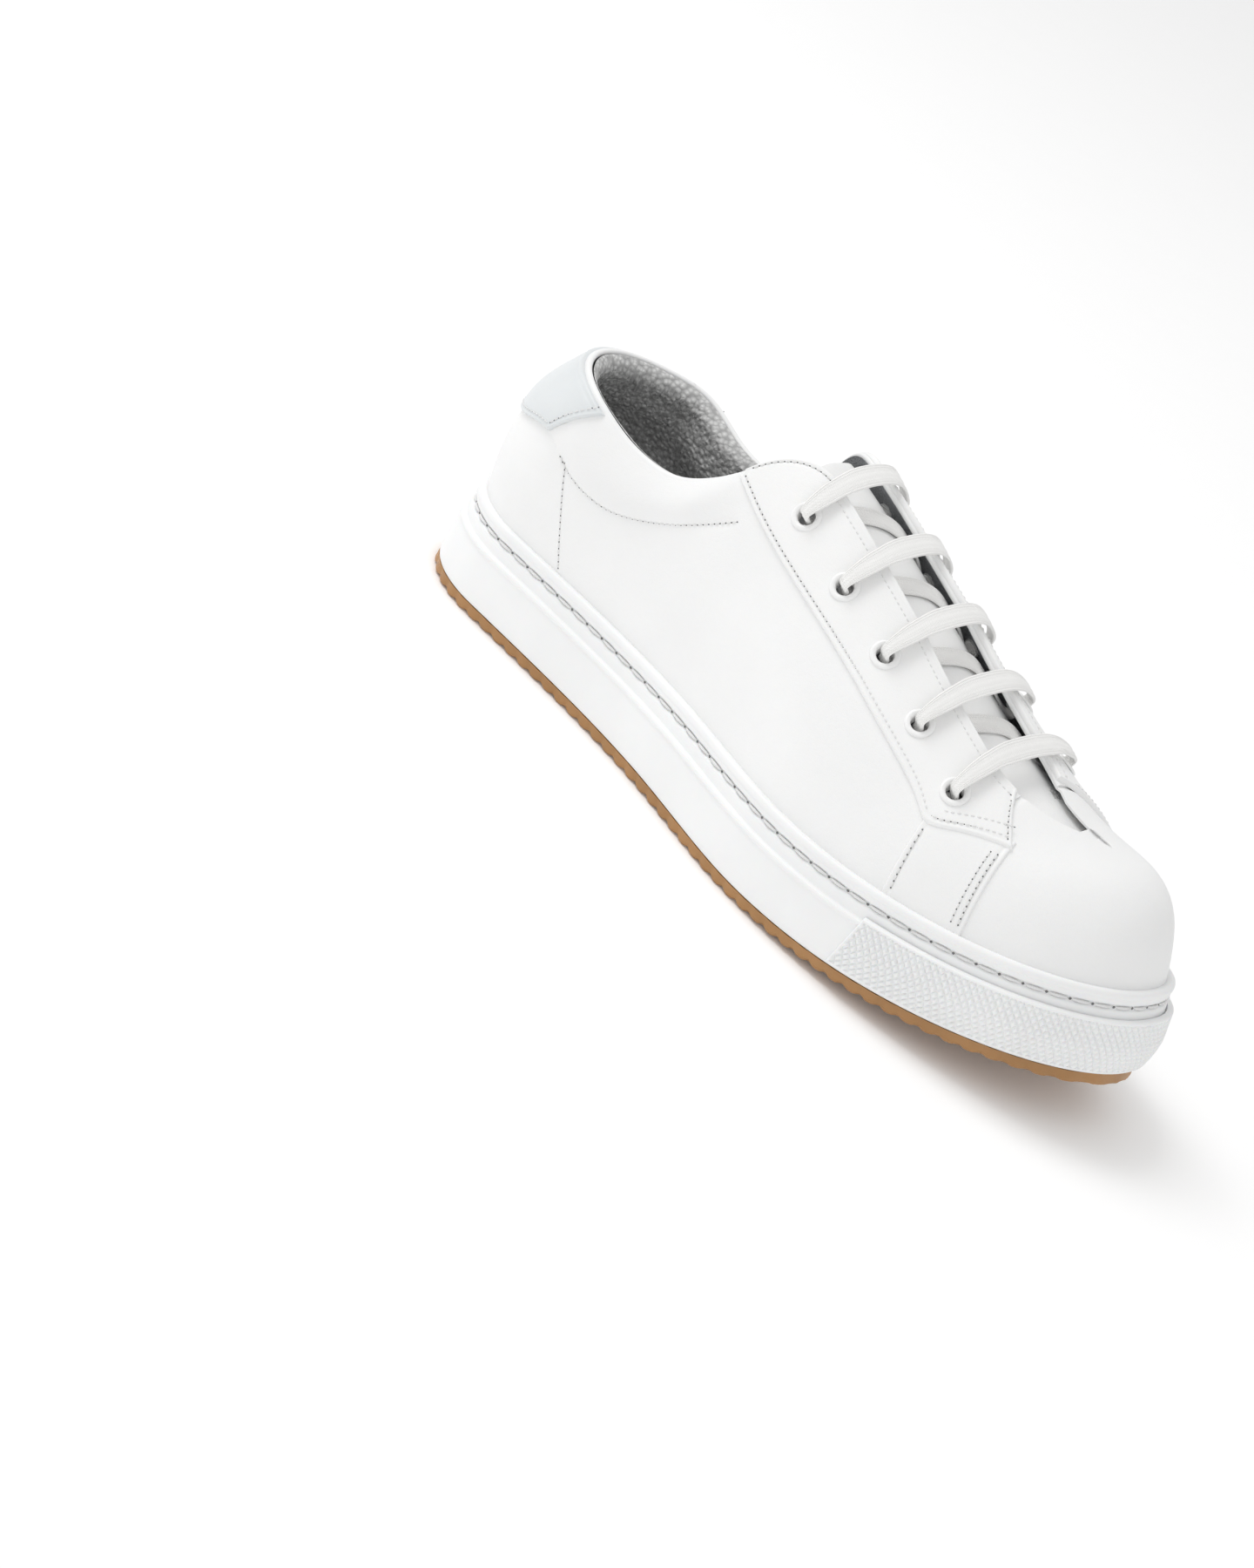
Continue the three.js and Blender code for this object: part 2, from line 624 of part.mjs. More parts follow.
// ---------- tongue ----------
const TONGUE_TOP = 107;
const TONGUE_BASE = 255;
const tongueHalf = (x) => mix(28, 20, smoothstep(x, 110, 250)) * (1 - 0.18 * (1 - smoothstep(x, 107, 113)));
const tonguePlace = (trim) => (u, t) => {
  const x = mix(TONGUE_TOP + trim, TONGUE_BASE - trim, u);
  const a = stationA(x);
  const side = t < 0.5 ? -1 : 1;
  const outer = vAtHalf(a, side, tongueHalf(x) - trim + side * crownShift(x) * 0.5);
  return { a, side, v: t < 0.5 ? mix(outer, 1, 2 * t) : mix(1, outer, 2 * t - 1) };
};
add("tongue_leather", layer(12, 6, tonguePlace(0), -7, -8), whiteLeather());
add("tongue_foam", layer(12, 6, tonguePlace(1.2), -8.9, -11.6), whiteFoam());
add("tongue_lining", layer(12, 6, tonguePlace(0.4), -12.5, -13.3), greyTextile());

// ---------- eyelets ----------
const eyeletProfile = [
  [EYELET_HOLE, -3.2], [3.3, -3.2], [3.3, 2.5], [EYELET_FLANGE - 0.2, 2.5], [EYELET_FLANGE, 2.75], [4.4, 3.2],
  [3.5, 3.25], [EYELET_HOLE, 2.8], [EYELET_HOLE, -3.2],
].map(([r, y]) => new THREE.Vector2(r, y));
for (const place of eyelets) {
  const ring = new THREE.LatheGeometry(eyeletProfile, 10);
  const number = eyelets.filter((e) => e.side === place.side).indexOf(place) + 1;
  const name = "eyelet_" + sideName(place.side) + "_" + number;
  add(name, outward(turned(bare(ring), place)), finish(0xf3f3f1, 0.3, 0.1));
}

// ---------- lace ----------
// Straight bars outside, and slanting runs inside from each inner eyelet to the next outer one.
function laceRoute() {
  const at = (place, depth) => place.centre.clone().addScaledVector(place.normal, depth);
  const outer = eyelets.filter((e) => e.side < 0);
  const inner = eyelets.filter((e) => e.side > 0);
  const full = LACE_WIDTH / 2;
  const narrow = 2;
  const knots = [];
  const row = new THREE.Vector3(0.93, 0, -0.37);
  const knot = (point, half, thick = LACE_THICKNESS / 2, wide = row) =>
    knots.push({ point, half, thick, wide });
  const surface = (x, side, half, depth) => {
    const a = stationA(x);
    return layerPoint(a, side, half === null ? 1 : vAtHalf(a, side, half), depth);
  };
  const tail = (side, xs) => {
    for (const x of xs) {
      const a = stationA(x);
      const v = vBelowEdge(a, side, TAIL_DROP);
      const down = layerPoint(a, side, v - 0.02, 0).sub(layerPoint(a, side, v, 0)).normalize();
      knot(layerPoint(a, side, v, -4.8), full * 0.8, LACE_THICKNESS / 2, down.multiplyScalar(side));
    }
  };
  tail(-1, [133, 150, 170, 190, 204]);
  outer.forEach((near, i) => {
    const far = inner[i];
    const x = EYELET_X[i];
    if (i) {
      const half = (EYELET_X[i - 1] + x) / 2;
      knot(surface(mix(EYELET_X[i - 1], x, 0.25), 1, 13, -4.6), full * 0.85);
      knot(surface(half, 1, null, -4.6).lerp(surface(half, -1, null, -4.6), 0.5), full * 0.85);
      knot(surface(mix(EYELET_X[i - 1], x, 0.75), -1, 13, -4.6), full * 0.85);
    }
    knot(at(near, -4), narrow, 0.8);
    knot(at(near, 0), narrow, 0.9);
    knot(at(near, 4.7), narrow, 0.8);
    knot(surface(x, -1, 18, 4.6), full * 0.85);
    knot(surface(x, -1, 8, 3.6), full);
    knot(surface(x, 1, 9, 3.6), full);
    knot(surface(x, 1, 18, 4.6), full * 0.85);
    knot(at(far, 4.7), narrow, 0.8);
    knot(at(far, 0), narrow, 0.9);
    knot(at(far, -4), narrow, 0.8);
  });
  tail(1, [138, 150, 164, 178]);
  return knots;
}

function laceSection(frame, half, thick) {
  const outline = [[-1, 0], [-0.8, -1], [0.8, -1], [1, 0], [0.8, 1], [-0.8, 1]];
  return outline.map(([w, n]) =>
    frame.point.clone().addScaledVector(frame.wide, w * half).addScaledVector(frame.thin, n * thick),
  );
}

function ribbon(knots, steps, start = 0, end = 1) {
  const path = new THREE.CatmullRomCurve3(knots.map((k) => k.point), false, "centripetal");
  const rings = [];
  for (let i = 0; i <= steps; i++) {
    const t = mix(start, end, i / steps);
    const place = t * (knots.length - 1);
    const k = Math.min(Math.floor(place), knots.length - 2);
    const blend = smoothstep(place - k, 0, 1);
    const along = path.getTangent(t);
    const hint = knots[k].wide.clone().lerp(knots[k + 1].wide, blend);
    const wide = hint.addScaledVector(along, -hint.dot(along));
    const frame = { point: path.getPoint(t), wide: wide.normalize() };
    frame.thin = new THREE.Vector3().crossVectors(along, frame.wide).normalize();
    const half = mix(knots[k].half, knots[k + 1].half, blend);
    rings.push(laceSection(frame, half, mix(knots[k].thick, knots[k + 1].thick, blend)));
  }
  const out = [];
  const n = rings[0].length;
  for (let i = 0; i < rings.length - 1; i++) {
    for (let k = 0; k < n; k++) {
      const m = (k + 1) % n;
      out.push(rings[i][k], rings[i][m], rings[i + 1][m], rings[i][k], rings[i + 1][m], rings[i + 1][k]);
    }
  }
  for (let k = 1; k < n - 1; k++) {
    out.push(rings[0][0], rings[0][k + 1], rings[0][k]);
    out.push(rings.at(-1)[0], rings.at(-1)[k], rings.at(-1)[k + 1]);
  }
  return closedGeometry(out);
}
const laceKnots = laceRoute();
add("lace", ribbon(laceKnots, 170), finish(0xf6f5f0, 0.85));

// A clear-coated tip beyond each end of the lace.
function aglet(from, end) {
  const along = end.clone().sub(from).normalize();
  const tip = new THREE.CylinderGeometry(1.2, 1.2, 20, 10);
  tip.applyQuaternion(new THREE.Quaternion().setFromUnitVectors(new THREE.Vector3(0, 1, 0), along));
  const middle = end.clone().addScaledVector(along, 10.5);
  tip.translate(middle.x, middle.y, middle.z);
  return bare(tip);
}
add("aglet_lateral", aglet(laceKnots[1].point, laceKnots[0].point), finish(0xf2f2ee, 0.25));
add("aglet_medial", aglet(laceKnots.at(-2).point, laceKnots.at(-1).point), finish(0xf2f2ee, 0.25));

export default root;
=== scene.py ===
"""A low white court shoe for the right foot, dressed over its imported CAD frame.

Every piece follows one smooth last surface. Lengths inside the classes are in
millimetres, with X measured from the back of the heel on a flat sole; Last.place
bends the forefoot up and turns them into metres in the row frame.
"""

import logging
import math
from dataclasses import dataclass, field
from enum import Enum
from typing import Callable, Optional, Sequence

import bmesh
import bpy
import numpy as np
from mathutils import Matrix


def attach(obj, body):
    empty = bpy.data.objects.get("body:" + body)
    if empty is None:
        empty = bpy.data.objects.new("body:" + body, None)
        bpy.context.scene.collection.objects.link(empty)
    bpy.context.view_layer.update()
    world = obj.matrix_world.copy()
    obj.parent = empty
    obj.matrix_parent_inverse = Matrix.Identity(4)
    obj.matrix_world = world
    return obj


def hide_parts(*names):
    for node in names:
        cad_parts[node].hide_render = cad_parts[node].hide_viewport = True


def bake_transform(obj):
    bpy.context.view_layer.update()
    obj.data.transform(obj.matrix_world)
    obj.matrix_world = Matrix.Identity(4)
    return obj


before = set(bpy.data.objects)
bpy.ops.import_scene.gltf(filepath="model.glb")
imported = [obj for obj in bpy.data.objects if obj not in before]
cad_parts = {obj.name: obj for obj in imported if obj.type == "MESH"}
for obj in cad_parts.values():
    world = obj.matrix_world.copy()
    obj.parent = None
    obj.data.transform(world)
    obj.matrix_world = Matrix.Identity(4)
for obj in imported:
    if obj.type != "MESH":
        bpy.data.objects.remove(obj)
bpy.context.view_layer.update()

LOG = logging.getLogger("court_shoe")
DETAIL = 1.0  # share of the full mesh density
Array = np.ndarray
Values = float | np.ndarray
Piece = bpy.types.Object
Socket = bpy.types.NodeSocket
Material = bpy.types.Material
Input = Socket | float | Sequence[float]


class Side(Enum):
    """The two walls of a right shoe."""

    LATERAL = -1.0
    MEDIAL = 1.0

    @property
    def label(self) -> str:
        """The side's name as the pieces spell it."""
        return self.name.lower()


# ---------------------------------------------------------------- curves and the last


def mix(low: Values, high: Values, t: Values) -> Array:
    """Straight blend from low to high."""
    return low + (high - low) * t


def smoothstep(x: Values, low: float, high: float) -> Array:
    """Cubic ease from 0 at low to 1 at high."""
    t = np.clip((np.asarray(x, float) - low) / (high - low), 0.0, 1.0)
    return t * t * (3.0 - 2.0 * t)


def unit(vectors: Array) -> Array:
    """The same directions at length 1."""
    return vectors / np.maximum(np.linalg.norm(vectors, axis=-1, keepdims=True), 1e-12)


class Spline:
    """Natural cubic spline through a few stations, held constant past its ends."""

    def __init__(self, stations: Sequence[Sequence[float]]) -> None:
        """Solves the second derivatives at the stations.

        Args:
            stations: (x, y) pairs in rising x.
        """
        s = np.array(stations, float)
        x, y, n = s[:, 0], s[:, 1], len(s)
        h = np.diff(x)
        system, rest = np.eye(n), np.zeros(n)
        inner = np.arange(1, n - 1)
        system[inner, inner - 1] = h[:-1]
        system[inner, inner] = 2 * (h[:-1] + h[1:])
        system[inner, inner + 1] = h[1:]
        rest[inner] = 6 * (np.diff(y)[1:] / h[1:] - np.diff(y)[:-1] / h[:-1])
        self.x, self.y, self.bend = x, y, np.linalg.solve(system, rest)

    def __call__(self, at: Values) -> Array:
        """The spline's value, piecewise cubic in x.

        Args:
            at: positions, any shape.

        Returns:
            Values in the same shape.
        """
        x, y, m = self.x, self.y, self.bend
        s = np.clip(np.asarray(at, float), x[0], x[-1])
        i = np.clip(np.searchsorted(x, s, side="right") - 1, 0, len(x) - 2)
        d = x[i + 1] - x[i]
        p, q = (x[i + 1] - s) / d, (s - x[i]) / d
        return p * y[i] + q * y[i + 1] + ((p**3 - p) * m[i] + (q**3 - q) * m[i + 1]) * d * d / 6


class Last:
    """The foot form: a surface of (a, side, v), a from heel to toe and v from sole to crown."""

    LENGTH = 300.0
    HEEL_CAP = 38.0
    TOE_CAP = 100.0
    TOE_POWER = 2.2
    TOE_RISE = 18.0
    RISE_START = 170.0
    UPPER_INSET = 5.6
    UPPER_BASE = 15.0
    SPINE_FROM = 52.0
    SPINE_TO = 262.0
    FACING_FROM = 93.0
    THROAT_HALF = 11.75
    THROAT_SHIFT = 1.75
    THROAT_TIP = 262.0

    centre_line = Spline(
        [[0, 0], [45, 0], [90, -1.5], [130, -3.5], [170, -4.5], [212, 0], [254, 3.2], [300, 7]]
    )
    half_width = Spline(
        [[0, 38], [45, 38], [90, 37], [130, 39.5], [170, 47], [207, 52], [244, 52.5], [300, 54]]
    )
    crown_height = Spline(
        [
            [0, 128], [60, 124], [100, 117.5], [122, 112], [147, 104], [171, 96], [196, 87],
            [222, 77], [251, 67], [275, 64], [300, 63],
        ]
    )
    crown_shift = Spline([[0, 0], [60, 1], [122, 3], [170, 5], [213, 6], [300, 7]])
    wall_fullness = Spline(
        [[0, 3], [80, 3.2], [122, 3], [170, 2.2], [215, 2.1], [250, 2.7], [275, 3.6], [300, 4.4]]
    )
    topline = Spline(
        [
            [0, 88], [13, 87.5], [30, 86.5], [42, 84], [54, 81.3], [66, 80.8], [75, 82.5],
            [84, 88], [91, 95], [93, 97.5],
        ]
    )
    stay_line = Spline(
        [
            [93, 95.6], [107, 90], [121, 85.7], [152.4, 78.2], [179.7, 70.7], [204, 62.8],
            [216.4, 57.2], [221, 54.8], [229, 55.6], [240, 57.6], [251, 58.3],
        ]
    )
    collar_line = Spline(
        [
            [20, 67], [30, 66], [36, 63.3], [45, 59.8], [54, 58.6], [62, 59.3], [73, 63.4],
            [88, 72.6], [104, 86],
        ]
    )

    def place(self, point: Array) -> Array:
        """Bends the forefoot up about the tread and gives row metres.

        The tilt at x is the slope of a parabola that starts at RISE_START, and each
        cross section turns by it about its foot on the parabola.

        Args:
            point: (..., 3) millimetres on the flat sole.

        Returns:
            (..., 3) metres in the row frame.
        """
        x, y, z = point[..., 0], point[..., 1], point[..., 2]
        reach = self.LENGTH - self.RISE_START
        into = np.maximum(x - self.RISE_START, 0) / reach
        tilt = np.arctan(2 * self.TOE_RISE * into / reach)
        bent = np.stack(
            [
                x - z * np.sin(tilt) - self.LENGTH / 2,
                y,
                self.TOE_RISE * into**2 + z * np.cos(tilt),
            ],
            -1,
        )
        return bent / 1000.0

    def x_of(self, a: Values) -> Array:
        """Heel-to-toe distance of the parameter a, closer spaced at both ends."""
        return self.LENGTH * (1 - np.cos(np.pi * np.asarray(a, float))) / 2

    def a_of(self, x: Values) -> Array:
        """The parameter a at a heel-to-toe distance."""
        return np.arccos(np.clip(1 - 2 * np.asarray(x, float) / self.LENGTH, -1, 1)) / np.pi

    def end_cap(self, x: Values) -> Array:
        """Share of the half width left at x: a quarter circle at the heel, a superellipse at the toe."""
        heel = np.sqrt(np.maximum(1 - np.clip(1 - x / self.HEEL_CAP, 0, 1) ** 2, 0))
        into = np.clip((x - (self.LENGTH - self.TOE_CAP)) / self.TOE_CAP, 0, 1)
        return heel * np.maximum(1 - into**self.TOE_POWER, 0) ** (1 / self.TOE_POWER)

    def rim(self, a: Values, side: Values) -> tuple[Array, Array]:
        """The outsole's outline as (x, y)."""
        x = self.x_of(a)
        return x, self.centre_line(x) + side * self.half_width(x) * self.end_cap(x)

    def outline(self, a: Values, side: Values, inset: Values) -> tuple[Array, ...]:
        """The outline moved inwards by inset, and its outward normal.

        Args:
            a: station along the shoe.
            side: -1 or +1.
            inset: distance inwards in millimetres.

        Returns:
            x, y and the normal's x and y.
        """
        x, y = self.rim(a, side)
        x0, y0 = self.rim(np.maximum(a - 1e-4, 0), side)
        x1, y1 = self.rim(np.minimum(a + 1e-4, 1), side)
        run = np.hypot(x1 - x0, y1 - y0)
        nx, ny = -side * (y1 - y0) / run, side * (x1 - x0) / run
        return x - nx * inset, y - ny * inset, nx, ny

    def spine(self, a: Values) -> Array:
        """X of the crown line: the station's own x, softly held inside its two ends."""
        soft = 12.0
        low = self.SPINE_FROM + soft * np.log1p(np.exp((self.x_of(a) - self.SPINE_FROM) / soft))
        return self.SPINE_TO - soft * np.log1p(np.exp((self.SPINE_TO - low) / soft))

    def point(self, a: Values, side: Values, v: Values) -> Array:
        """The last's surface on the flat sole.

        From the foot of the wall the surface runs in towards the crown by
        1 - cos(psi)^(2/fullness) and up by sin(psi)^(2/2.2), psi being v quarter turns,
        and bulges outwards a little low down.

        Args:
            a: station, side: -1 or +1, v: 0 at the sole to 1 at the crown.

        Returns:
            (..., 3) millimetres.
        """
        x, y, nx, ny = self.outline(a, side, self.UPPER_INSET)
        crown_x = self.spine(a)
        psi = np.clip(v, 0, 1) * np.pi / 2
        across = 1 - np.maximum(np.cos(psi), 0) ** (2 / self.wall_fullness(x))
        away = smoothstep(x, 8, 80)
        span = mix(0.45, 0.95, away) - mix(0.27, 0.45, away)
        fade = smoothstep((v - mix(0.27, 0.45, away)) / span, 0, 1)
        begin, full = mix(-0.02, -0.1, away), mix(0.21, 0.1, away)
        swell = mix(6.5, 2.2, away) * smoothstep((v - begin) / (full - begin), 0, 1)
        swell = swell * (1 - fade)
        px = mix(x, crown_x, across) + nx * swell
        py = mix(y, self.crown_shift(crown_x), across) + ny * swell
        pz = mix(self.UPPER_BASE, self.crown_height(px), np.sin(psi) ** (2 / 2.2))
        return np.stack(np.broadcast_arrays(px, py, pz), -1)

    def normal(self, a: Values, side: Values, v: Values) -> Array:
        """Outward unit normal, from small steps along a and v; the crown's is shared by both sides."""
        a, side, v = np.broadcast_arrays(*(np.asarray(k, float) for k in (a, side, v)))

        def one(side_now: Array, v_now: Array) -> Array:
            """The normal just below the crown on one side."""
            e = 2e-3
            v0, v1 = np.clip(v_now - e, 0, 1 - 4 * e), np.clip(v_now + e, 2 * e, 1 - 2 * e)
            a0 = np.clip(a, 0.004, 0.996)
            along = self.point(a0 + e, side_now, v0) - self.point(a0 - e, side_now, v0)
            up = self.point(a0, side_now, v1) - self.point(a0, side_now, v0)
            n = np.cross(along, up) * -side_now[..., None]
            return n / np.linalg.norm(n, axis=-1, keepdims=True)

        n = one(side, v)
        top = smoothstep(v, 0.975, 1.0)[..., None]
        shared = one(-side, np.full_like(v, 0.999)) + one(side, np.full_like(v, 0.999))
        shared /= np.linalg.norm(shared, axis=-1, keepdims=True)
        n = mix(n, shared, top)
        return n / np.linalg.norm(n, axis=-1, keepdims=True)

    def layer(self, a: Values, side: Values, v: Values, offset: Values) -> Array:
        """Row-frame points at a distance outwards from the last, in metres."""
        offset = np.asarray(offset, float)
        return self.place(self.point(a, side, v) + self.normal(a, side, v) * offset[..., None])

    def solve(self, test: Callable[[Array], Array], shape: tuple[int, ...]) -> Array:
        """Halves the interval of v until test turns false."""
        low, high = np.zeros(shape), np.ones(shape)
        for _ in range(24):
            middle = (low + high) / 2
            below = test(middle)
            low, high = np.where(below, middle, low), np.where(below, high, middle)
        return (low + high) / 2

    def v_height(self, a: Values, side: Values, z: Values) -> Array:
        """The v at which the wall reaches height z."""
        a, side, z = np.broadcast_arrays(*(np.asarray(k, float) for k in (a, side, z)))
        return self.solve(lambda v: self.point(a, side, v)[..., 2] < z, a.shape)

    def v_half(self, a: Values, side: Values, half: Values) -> Array:
        """The v at which the wall comes within half of the middle plane."""
        a, side, half = np.broadcast_arrays(*(np.asarray(k, float) for k in (a, side, half)))
        return self.solve(lambda v: side * self.point(a, side, v)[..., 1] > half, a.shape)

    def edge_v(self, a: Values, side: Values) -> Array:
        """The upper's free edge: topline, top of the facing, then the throat to its tip."""
        a, side = np.broadcast_arrays(np.asarray(a, float), np.asarray(side, float))
        x = np.clip(self.x_of(a), 0, self.THROAT_TIP)
        straight = self.THROAT_HALF - side * self.THROAT_SHIFT
        turn = np.sin(np.clip((x - self.FACING_FROM) / 24, 0, 1) * np.pi / 2)
        start = self.a_of(np.full(a.shape, self.FACING_FROM))
        corner = self.point(start, side, self.v_height(start, side, self.topline(self.FACING_FROM)))
        half = mix(side * corner[..., 1], straight, turn) * np.sqrt(1 - smoothstep(x, 222, self.THROAT_TIP))
        return np.where(
            x < self.FACING_FROM,
            self.v_height(a, side, self.topline(x)),
            self.v_half(self.a_of(x), side, half),
        )

    def closed_edge_v(self, a: Values, side: Values) -> Array:
        """edge_v, and the crown line beyond the throat's tip."""
        return np.where(self.x_of(a) > self.THROAT_TIP, 1.0, self.edge_v(a, side))

    def v_below(self, a: Values, side: Values, distance: Values) -> Array:
        """The v at a distance down the wall from the free edge."""
        a, side = np.broadcast_arrays(np.asarray(a, float), np.asarray(side, float))
        free = self.edge_v(a, side)
        edge = self.point(a, side, free)

        def test(v: Array) -> Array:
            """Whether the wall is still further than distance."""
            p = self.point(a, side, v)
            far = np.hypot(p[..., 1] - edge[..., 1], p[..., 2] - edge[..., 2]) > distance
            return far & (v < free)

        return self.solve(test, a.shape)

    def padding(self, a: Values, side: Values, v: Values) -> Array:
        """How far the leather stands out over the collar padding, a half sine above its stitch line.

        Args:
            a: station, side: -1 or +1, v: height parameter.

        Returns:
            Millimetres, with a shallow dent along the stitch line itself.
        """
        x = self.x_of(a)
        line = self.v_height(a, side, self.collar_line(x))
        rear = np.minimum(a, self.a_of(self.FACING_FROM))
        edge = self.v_height(rear, side, self.topline(np.minimum(x, self.FACING_FROM)))
        share = np.clip((v - line) / np.maximum(edge - line, 0.02), 0, 1)
        swell = 2.3 * smoothstep(x, 16, 42) * (1 - smoothstep(x, 84, 102))
        dent = 0.22 * np.exp(-(((v - line) / 0.018) ** 2)) * smoothstep(x, 30, 38)
        dent = dent * (1 - smoothstep(x, 100, 105))
        return swell * np.sin(np.pi * share**0.8) - dent


LAST = Last()


# ---------------------------------------------------------------- finishes


class NodeTree:
    """A short way to write a material's node tree."""

    def __init__(self, name: str) -> None:
        """Makes an empty material with a Principled surface."""
        self.material = bpy.data.materials.new(name)
        self.material.use_nodes = True
        self.tree = self.material.node_tree
        self.surface = self.tree.nodes["Principled BSDF"]
        self.place = self.node("ShaderNodeTexCoord").outputs["Object"]

    def node(self, kind: str, **values) -> bpy.types.Node:
        """Adds a node and sets its properties or inputs by name.

        Args:
            kind: Blender's node type.
            **values: properties, or inputs with underscores for spaces.

        Returns:
            The node.
        """
        made = self.tree.nodes.new(kind)
        for key, value in values.items():
            if hasattr(made, key):
                setattr(made, key, value)
            else:
                self.feed(made.inputs[key.replace("_", " ")], value)
        return made

    def feed(self, socket: Socket, value: Input) -> None:
        """Links value to socket if it is an output, and sets it otherwise."""
        if isinstance(value, Socket):
            self.tree.links.new(value, socket)
        else:
            socket.default_value = value

    def noise(self, scale: float, detail: float = 3.0, rough: float = 0.5) -> Socket:
        """Fractal noise of about 1/scale metres a blotch."""
        made = self.node("ShaderNodeTexNoise", Scale=scale, Detail=detail, Roughness=rough)
        self.feed(made.inputs["Vector"], self.place)
        return made.outputs["Fac"]

    def cells(self, scale: float) -> Socket:
        """Distance to the nearest of a scatter of points."""
        made = self.node("ShaderNodeTexVoronoi", feature="F1", Scale=scale)
        self.feed(made.inputs["Vector"], self.place)
        return made.outputs["Distance"]

    def ramp(
        self, value: Input, low: float, high: float, out_low: float = 0.0, out_high: float = 1.0
    ) -> Socket:
        """Maps low..high to out_low..out_high, clamped."""
        made = self.node("ShaderNodeMapRange", clamp=True)
        for index, number in enumerate((value, low, high, out_low, out_high)):
            self.feed(made.inputs[index], number)
        return made.outputs[0]

    def math(self, operation: str, first: Input, second: Input = 0.0) -> Socket:
        """One step of arithmetic on two values."""
        made = self.node("ShaderNodeMath", operation=operation)
        self.feed(made.inputs[0], first)
        self.feed(made.inputs[1], second)
        return made.outputs[0]

    def blend(self, fac: Input, dark: Sequence[float], light: Sequence[float]) -> Socket:
        """Colour between two, by fac."""
        made = self.node("ShaderNodeMix", data_type="RGBA")
        self.feed(made.inputs[0], fac)
        self.feed(made.inputs[6], (*dark, 1.0))
        self.feed(made.inputs[7], (*light, 1.0))
        return made.outputs[2]

    def bump(
        self, height: Input, distance: float, strength: float = 1.0, before: Optional[Socket] = None
    ) -> Socket:
        """A bump of that height in metres over an earlier one."""
        made = self.node("ShaderNodeBump", Strength=strength, Distance=distance)
        self.feed(made.inputs["Height"], height)
        if before is not None:
            self.feed(made.inputs["Normal"], before)
        return made.outputs["Normal"]

    def finish(
        self,
        color: Optional[Input] = None,
        roughness: Optional[Input] = None,
        normal: Optional[Socket] = None,
        **direct: Input,
    ) -> Material:
        """Feeds the Principled surface; keyword values are set on their own sockets."""
        sockets = self.surface.inputs
        for name, value in (("Base Color", color), ("Roughness", roughness), ("Normal", normal)):
            if value is not None:
                self.feed(sockets[name], value)
        for key, value in direct.items():
            sockets[key.replace("_", " ")].default_value = value
        return self.material


@dataclass(frozen=True)
class SmoothLeather:
    """Full-grain leather: fine pores, a faint pebble and a low, uneven shine."""

    name: str
    light: tuple[float, float, float]
    dark: tuple[float, float, float]
    shine: float = 0.4
    pore_scale: float = 1900.0

    def build(self) -> Material:
        """The leather's node tree."""
        n = NodeTree(self.name)
        warp = n.noise(260.0, 2.0)
        pores = n.ramp(n.cells(self.pore_scale), 0.08, 0.5)
        pebble = n.noise(900.0, 4.0, 0.6)
        blotch = n.noise(28.0, 3.0)
        normal = n.bump(pores, 0.00004, 0.5)
        normal = n.bump(pebble, 0.00010, 0.45, normal)
        normal = n.bump(warp, 0.00028, 0.35, normal)
        worn = n.math("MULTIPLY", blotch, n.ramp(pebble, 0.2, 0.8, 0.85, 1.0))
        return n.finish(
            color=n.blend(n.ramp(worn, 0.25, 0.6), self.dark, self.light),
            roughness=n.ramp(pebble, 0.3, 0.7, self.shine, self.shine + 0.14),
            normal=normal,
            IOR=1.46,
            Subsurface_Weight=0.04,
            Subsurface_Radius=(0.004, 0.003, 0.002),
            Subsurface_Scale=0.4,
        )


@dataclass(frozen=True)
class MouldedRubber:
    """Moulded rubber with a satin skin and slight flow marks."""

    name: str
    light: tuple[float, float, float]
    dark: tuple[float, float, float]
    rough: float = 0.5
    glow: float = 0.08

    def build(self) -> Material:
        """The rubber's node tree."""
        n = NodeTree(self.name)
        grain = n.noise(2600.0, 3.0, 0.6)
        flow = n.noise(42.0, 3.0, 0.55)
        normal = n.bump(grain, 0.00005, 0.4)
        normal = n.bump(flow, 0.0004, 0.18, normal)
        return n.finish(
            color=n.blend(n.ramp(flow, 0.35, 0.65), self.dark, self.light),
            roughness=n.ramp(grain, 0.3, 0.7, self.rough - 0.06, self.rough + 0.08),
            normal=normal,
            IOR=1.5,
            Subsurface_Weight=self.glow,
            Subsurface_Radius=(0.006, 0.003, 0.0015),
            Subsurface_Scale=0.5,
        )


@dataclass(frozen=True)
class LoopedTextile:
    """Looped lining cloth: round loops with painted shade in the gaps between them, soft at grazing angles.
    """

    name: str
    light: tuple[float, float, float]
    dark: tuple[float, float, float]
    loop_scale: float = 900.0
    sheen: float = 0.35

    def build(self) -> Material:
        """The cloth's node tree."""
        n = NodeTree(self.name)
        loops = n.cells(self.loop_scale)
        fuzz = n.noise(2600.0, 3.0, 0.7)
        worn = n.noise(70.0, 3.0)
        normal = n.bump(n.ramp(loops, 0.0, 0.75, 1.0, 0.0), 0.0006, 0.9)
        normal = n.bump(fuzz, 0.0002, 0.6, normal)
        # painted shade: the colour darkens from each loop's top into the gaps, times random blotches
        shade = n.math("MULTIPLY", n.ramp(loops, 0.1, 0.8, 1.0, 0.25), n.ramp(worn, 0.3, 0.7, 0.8, 1.0))
        return n.finish(
            color=n.blend(shade, self.dark, self.light),
            roughness=n.ramp(fuzz, 0.2, 0.8, 0.85, 1.0),
            normal=normal,
            Sheen_Weight=self.sheen,
            Sheen_Roughness=0.5,
        )


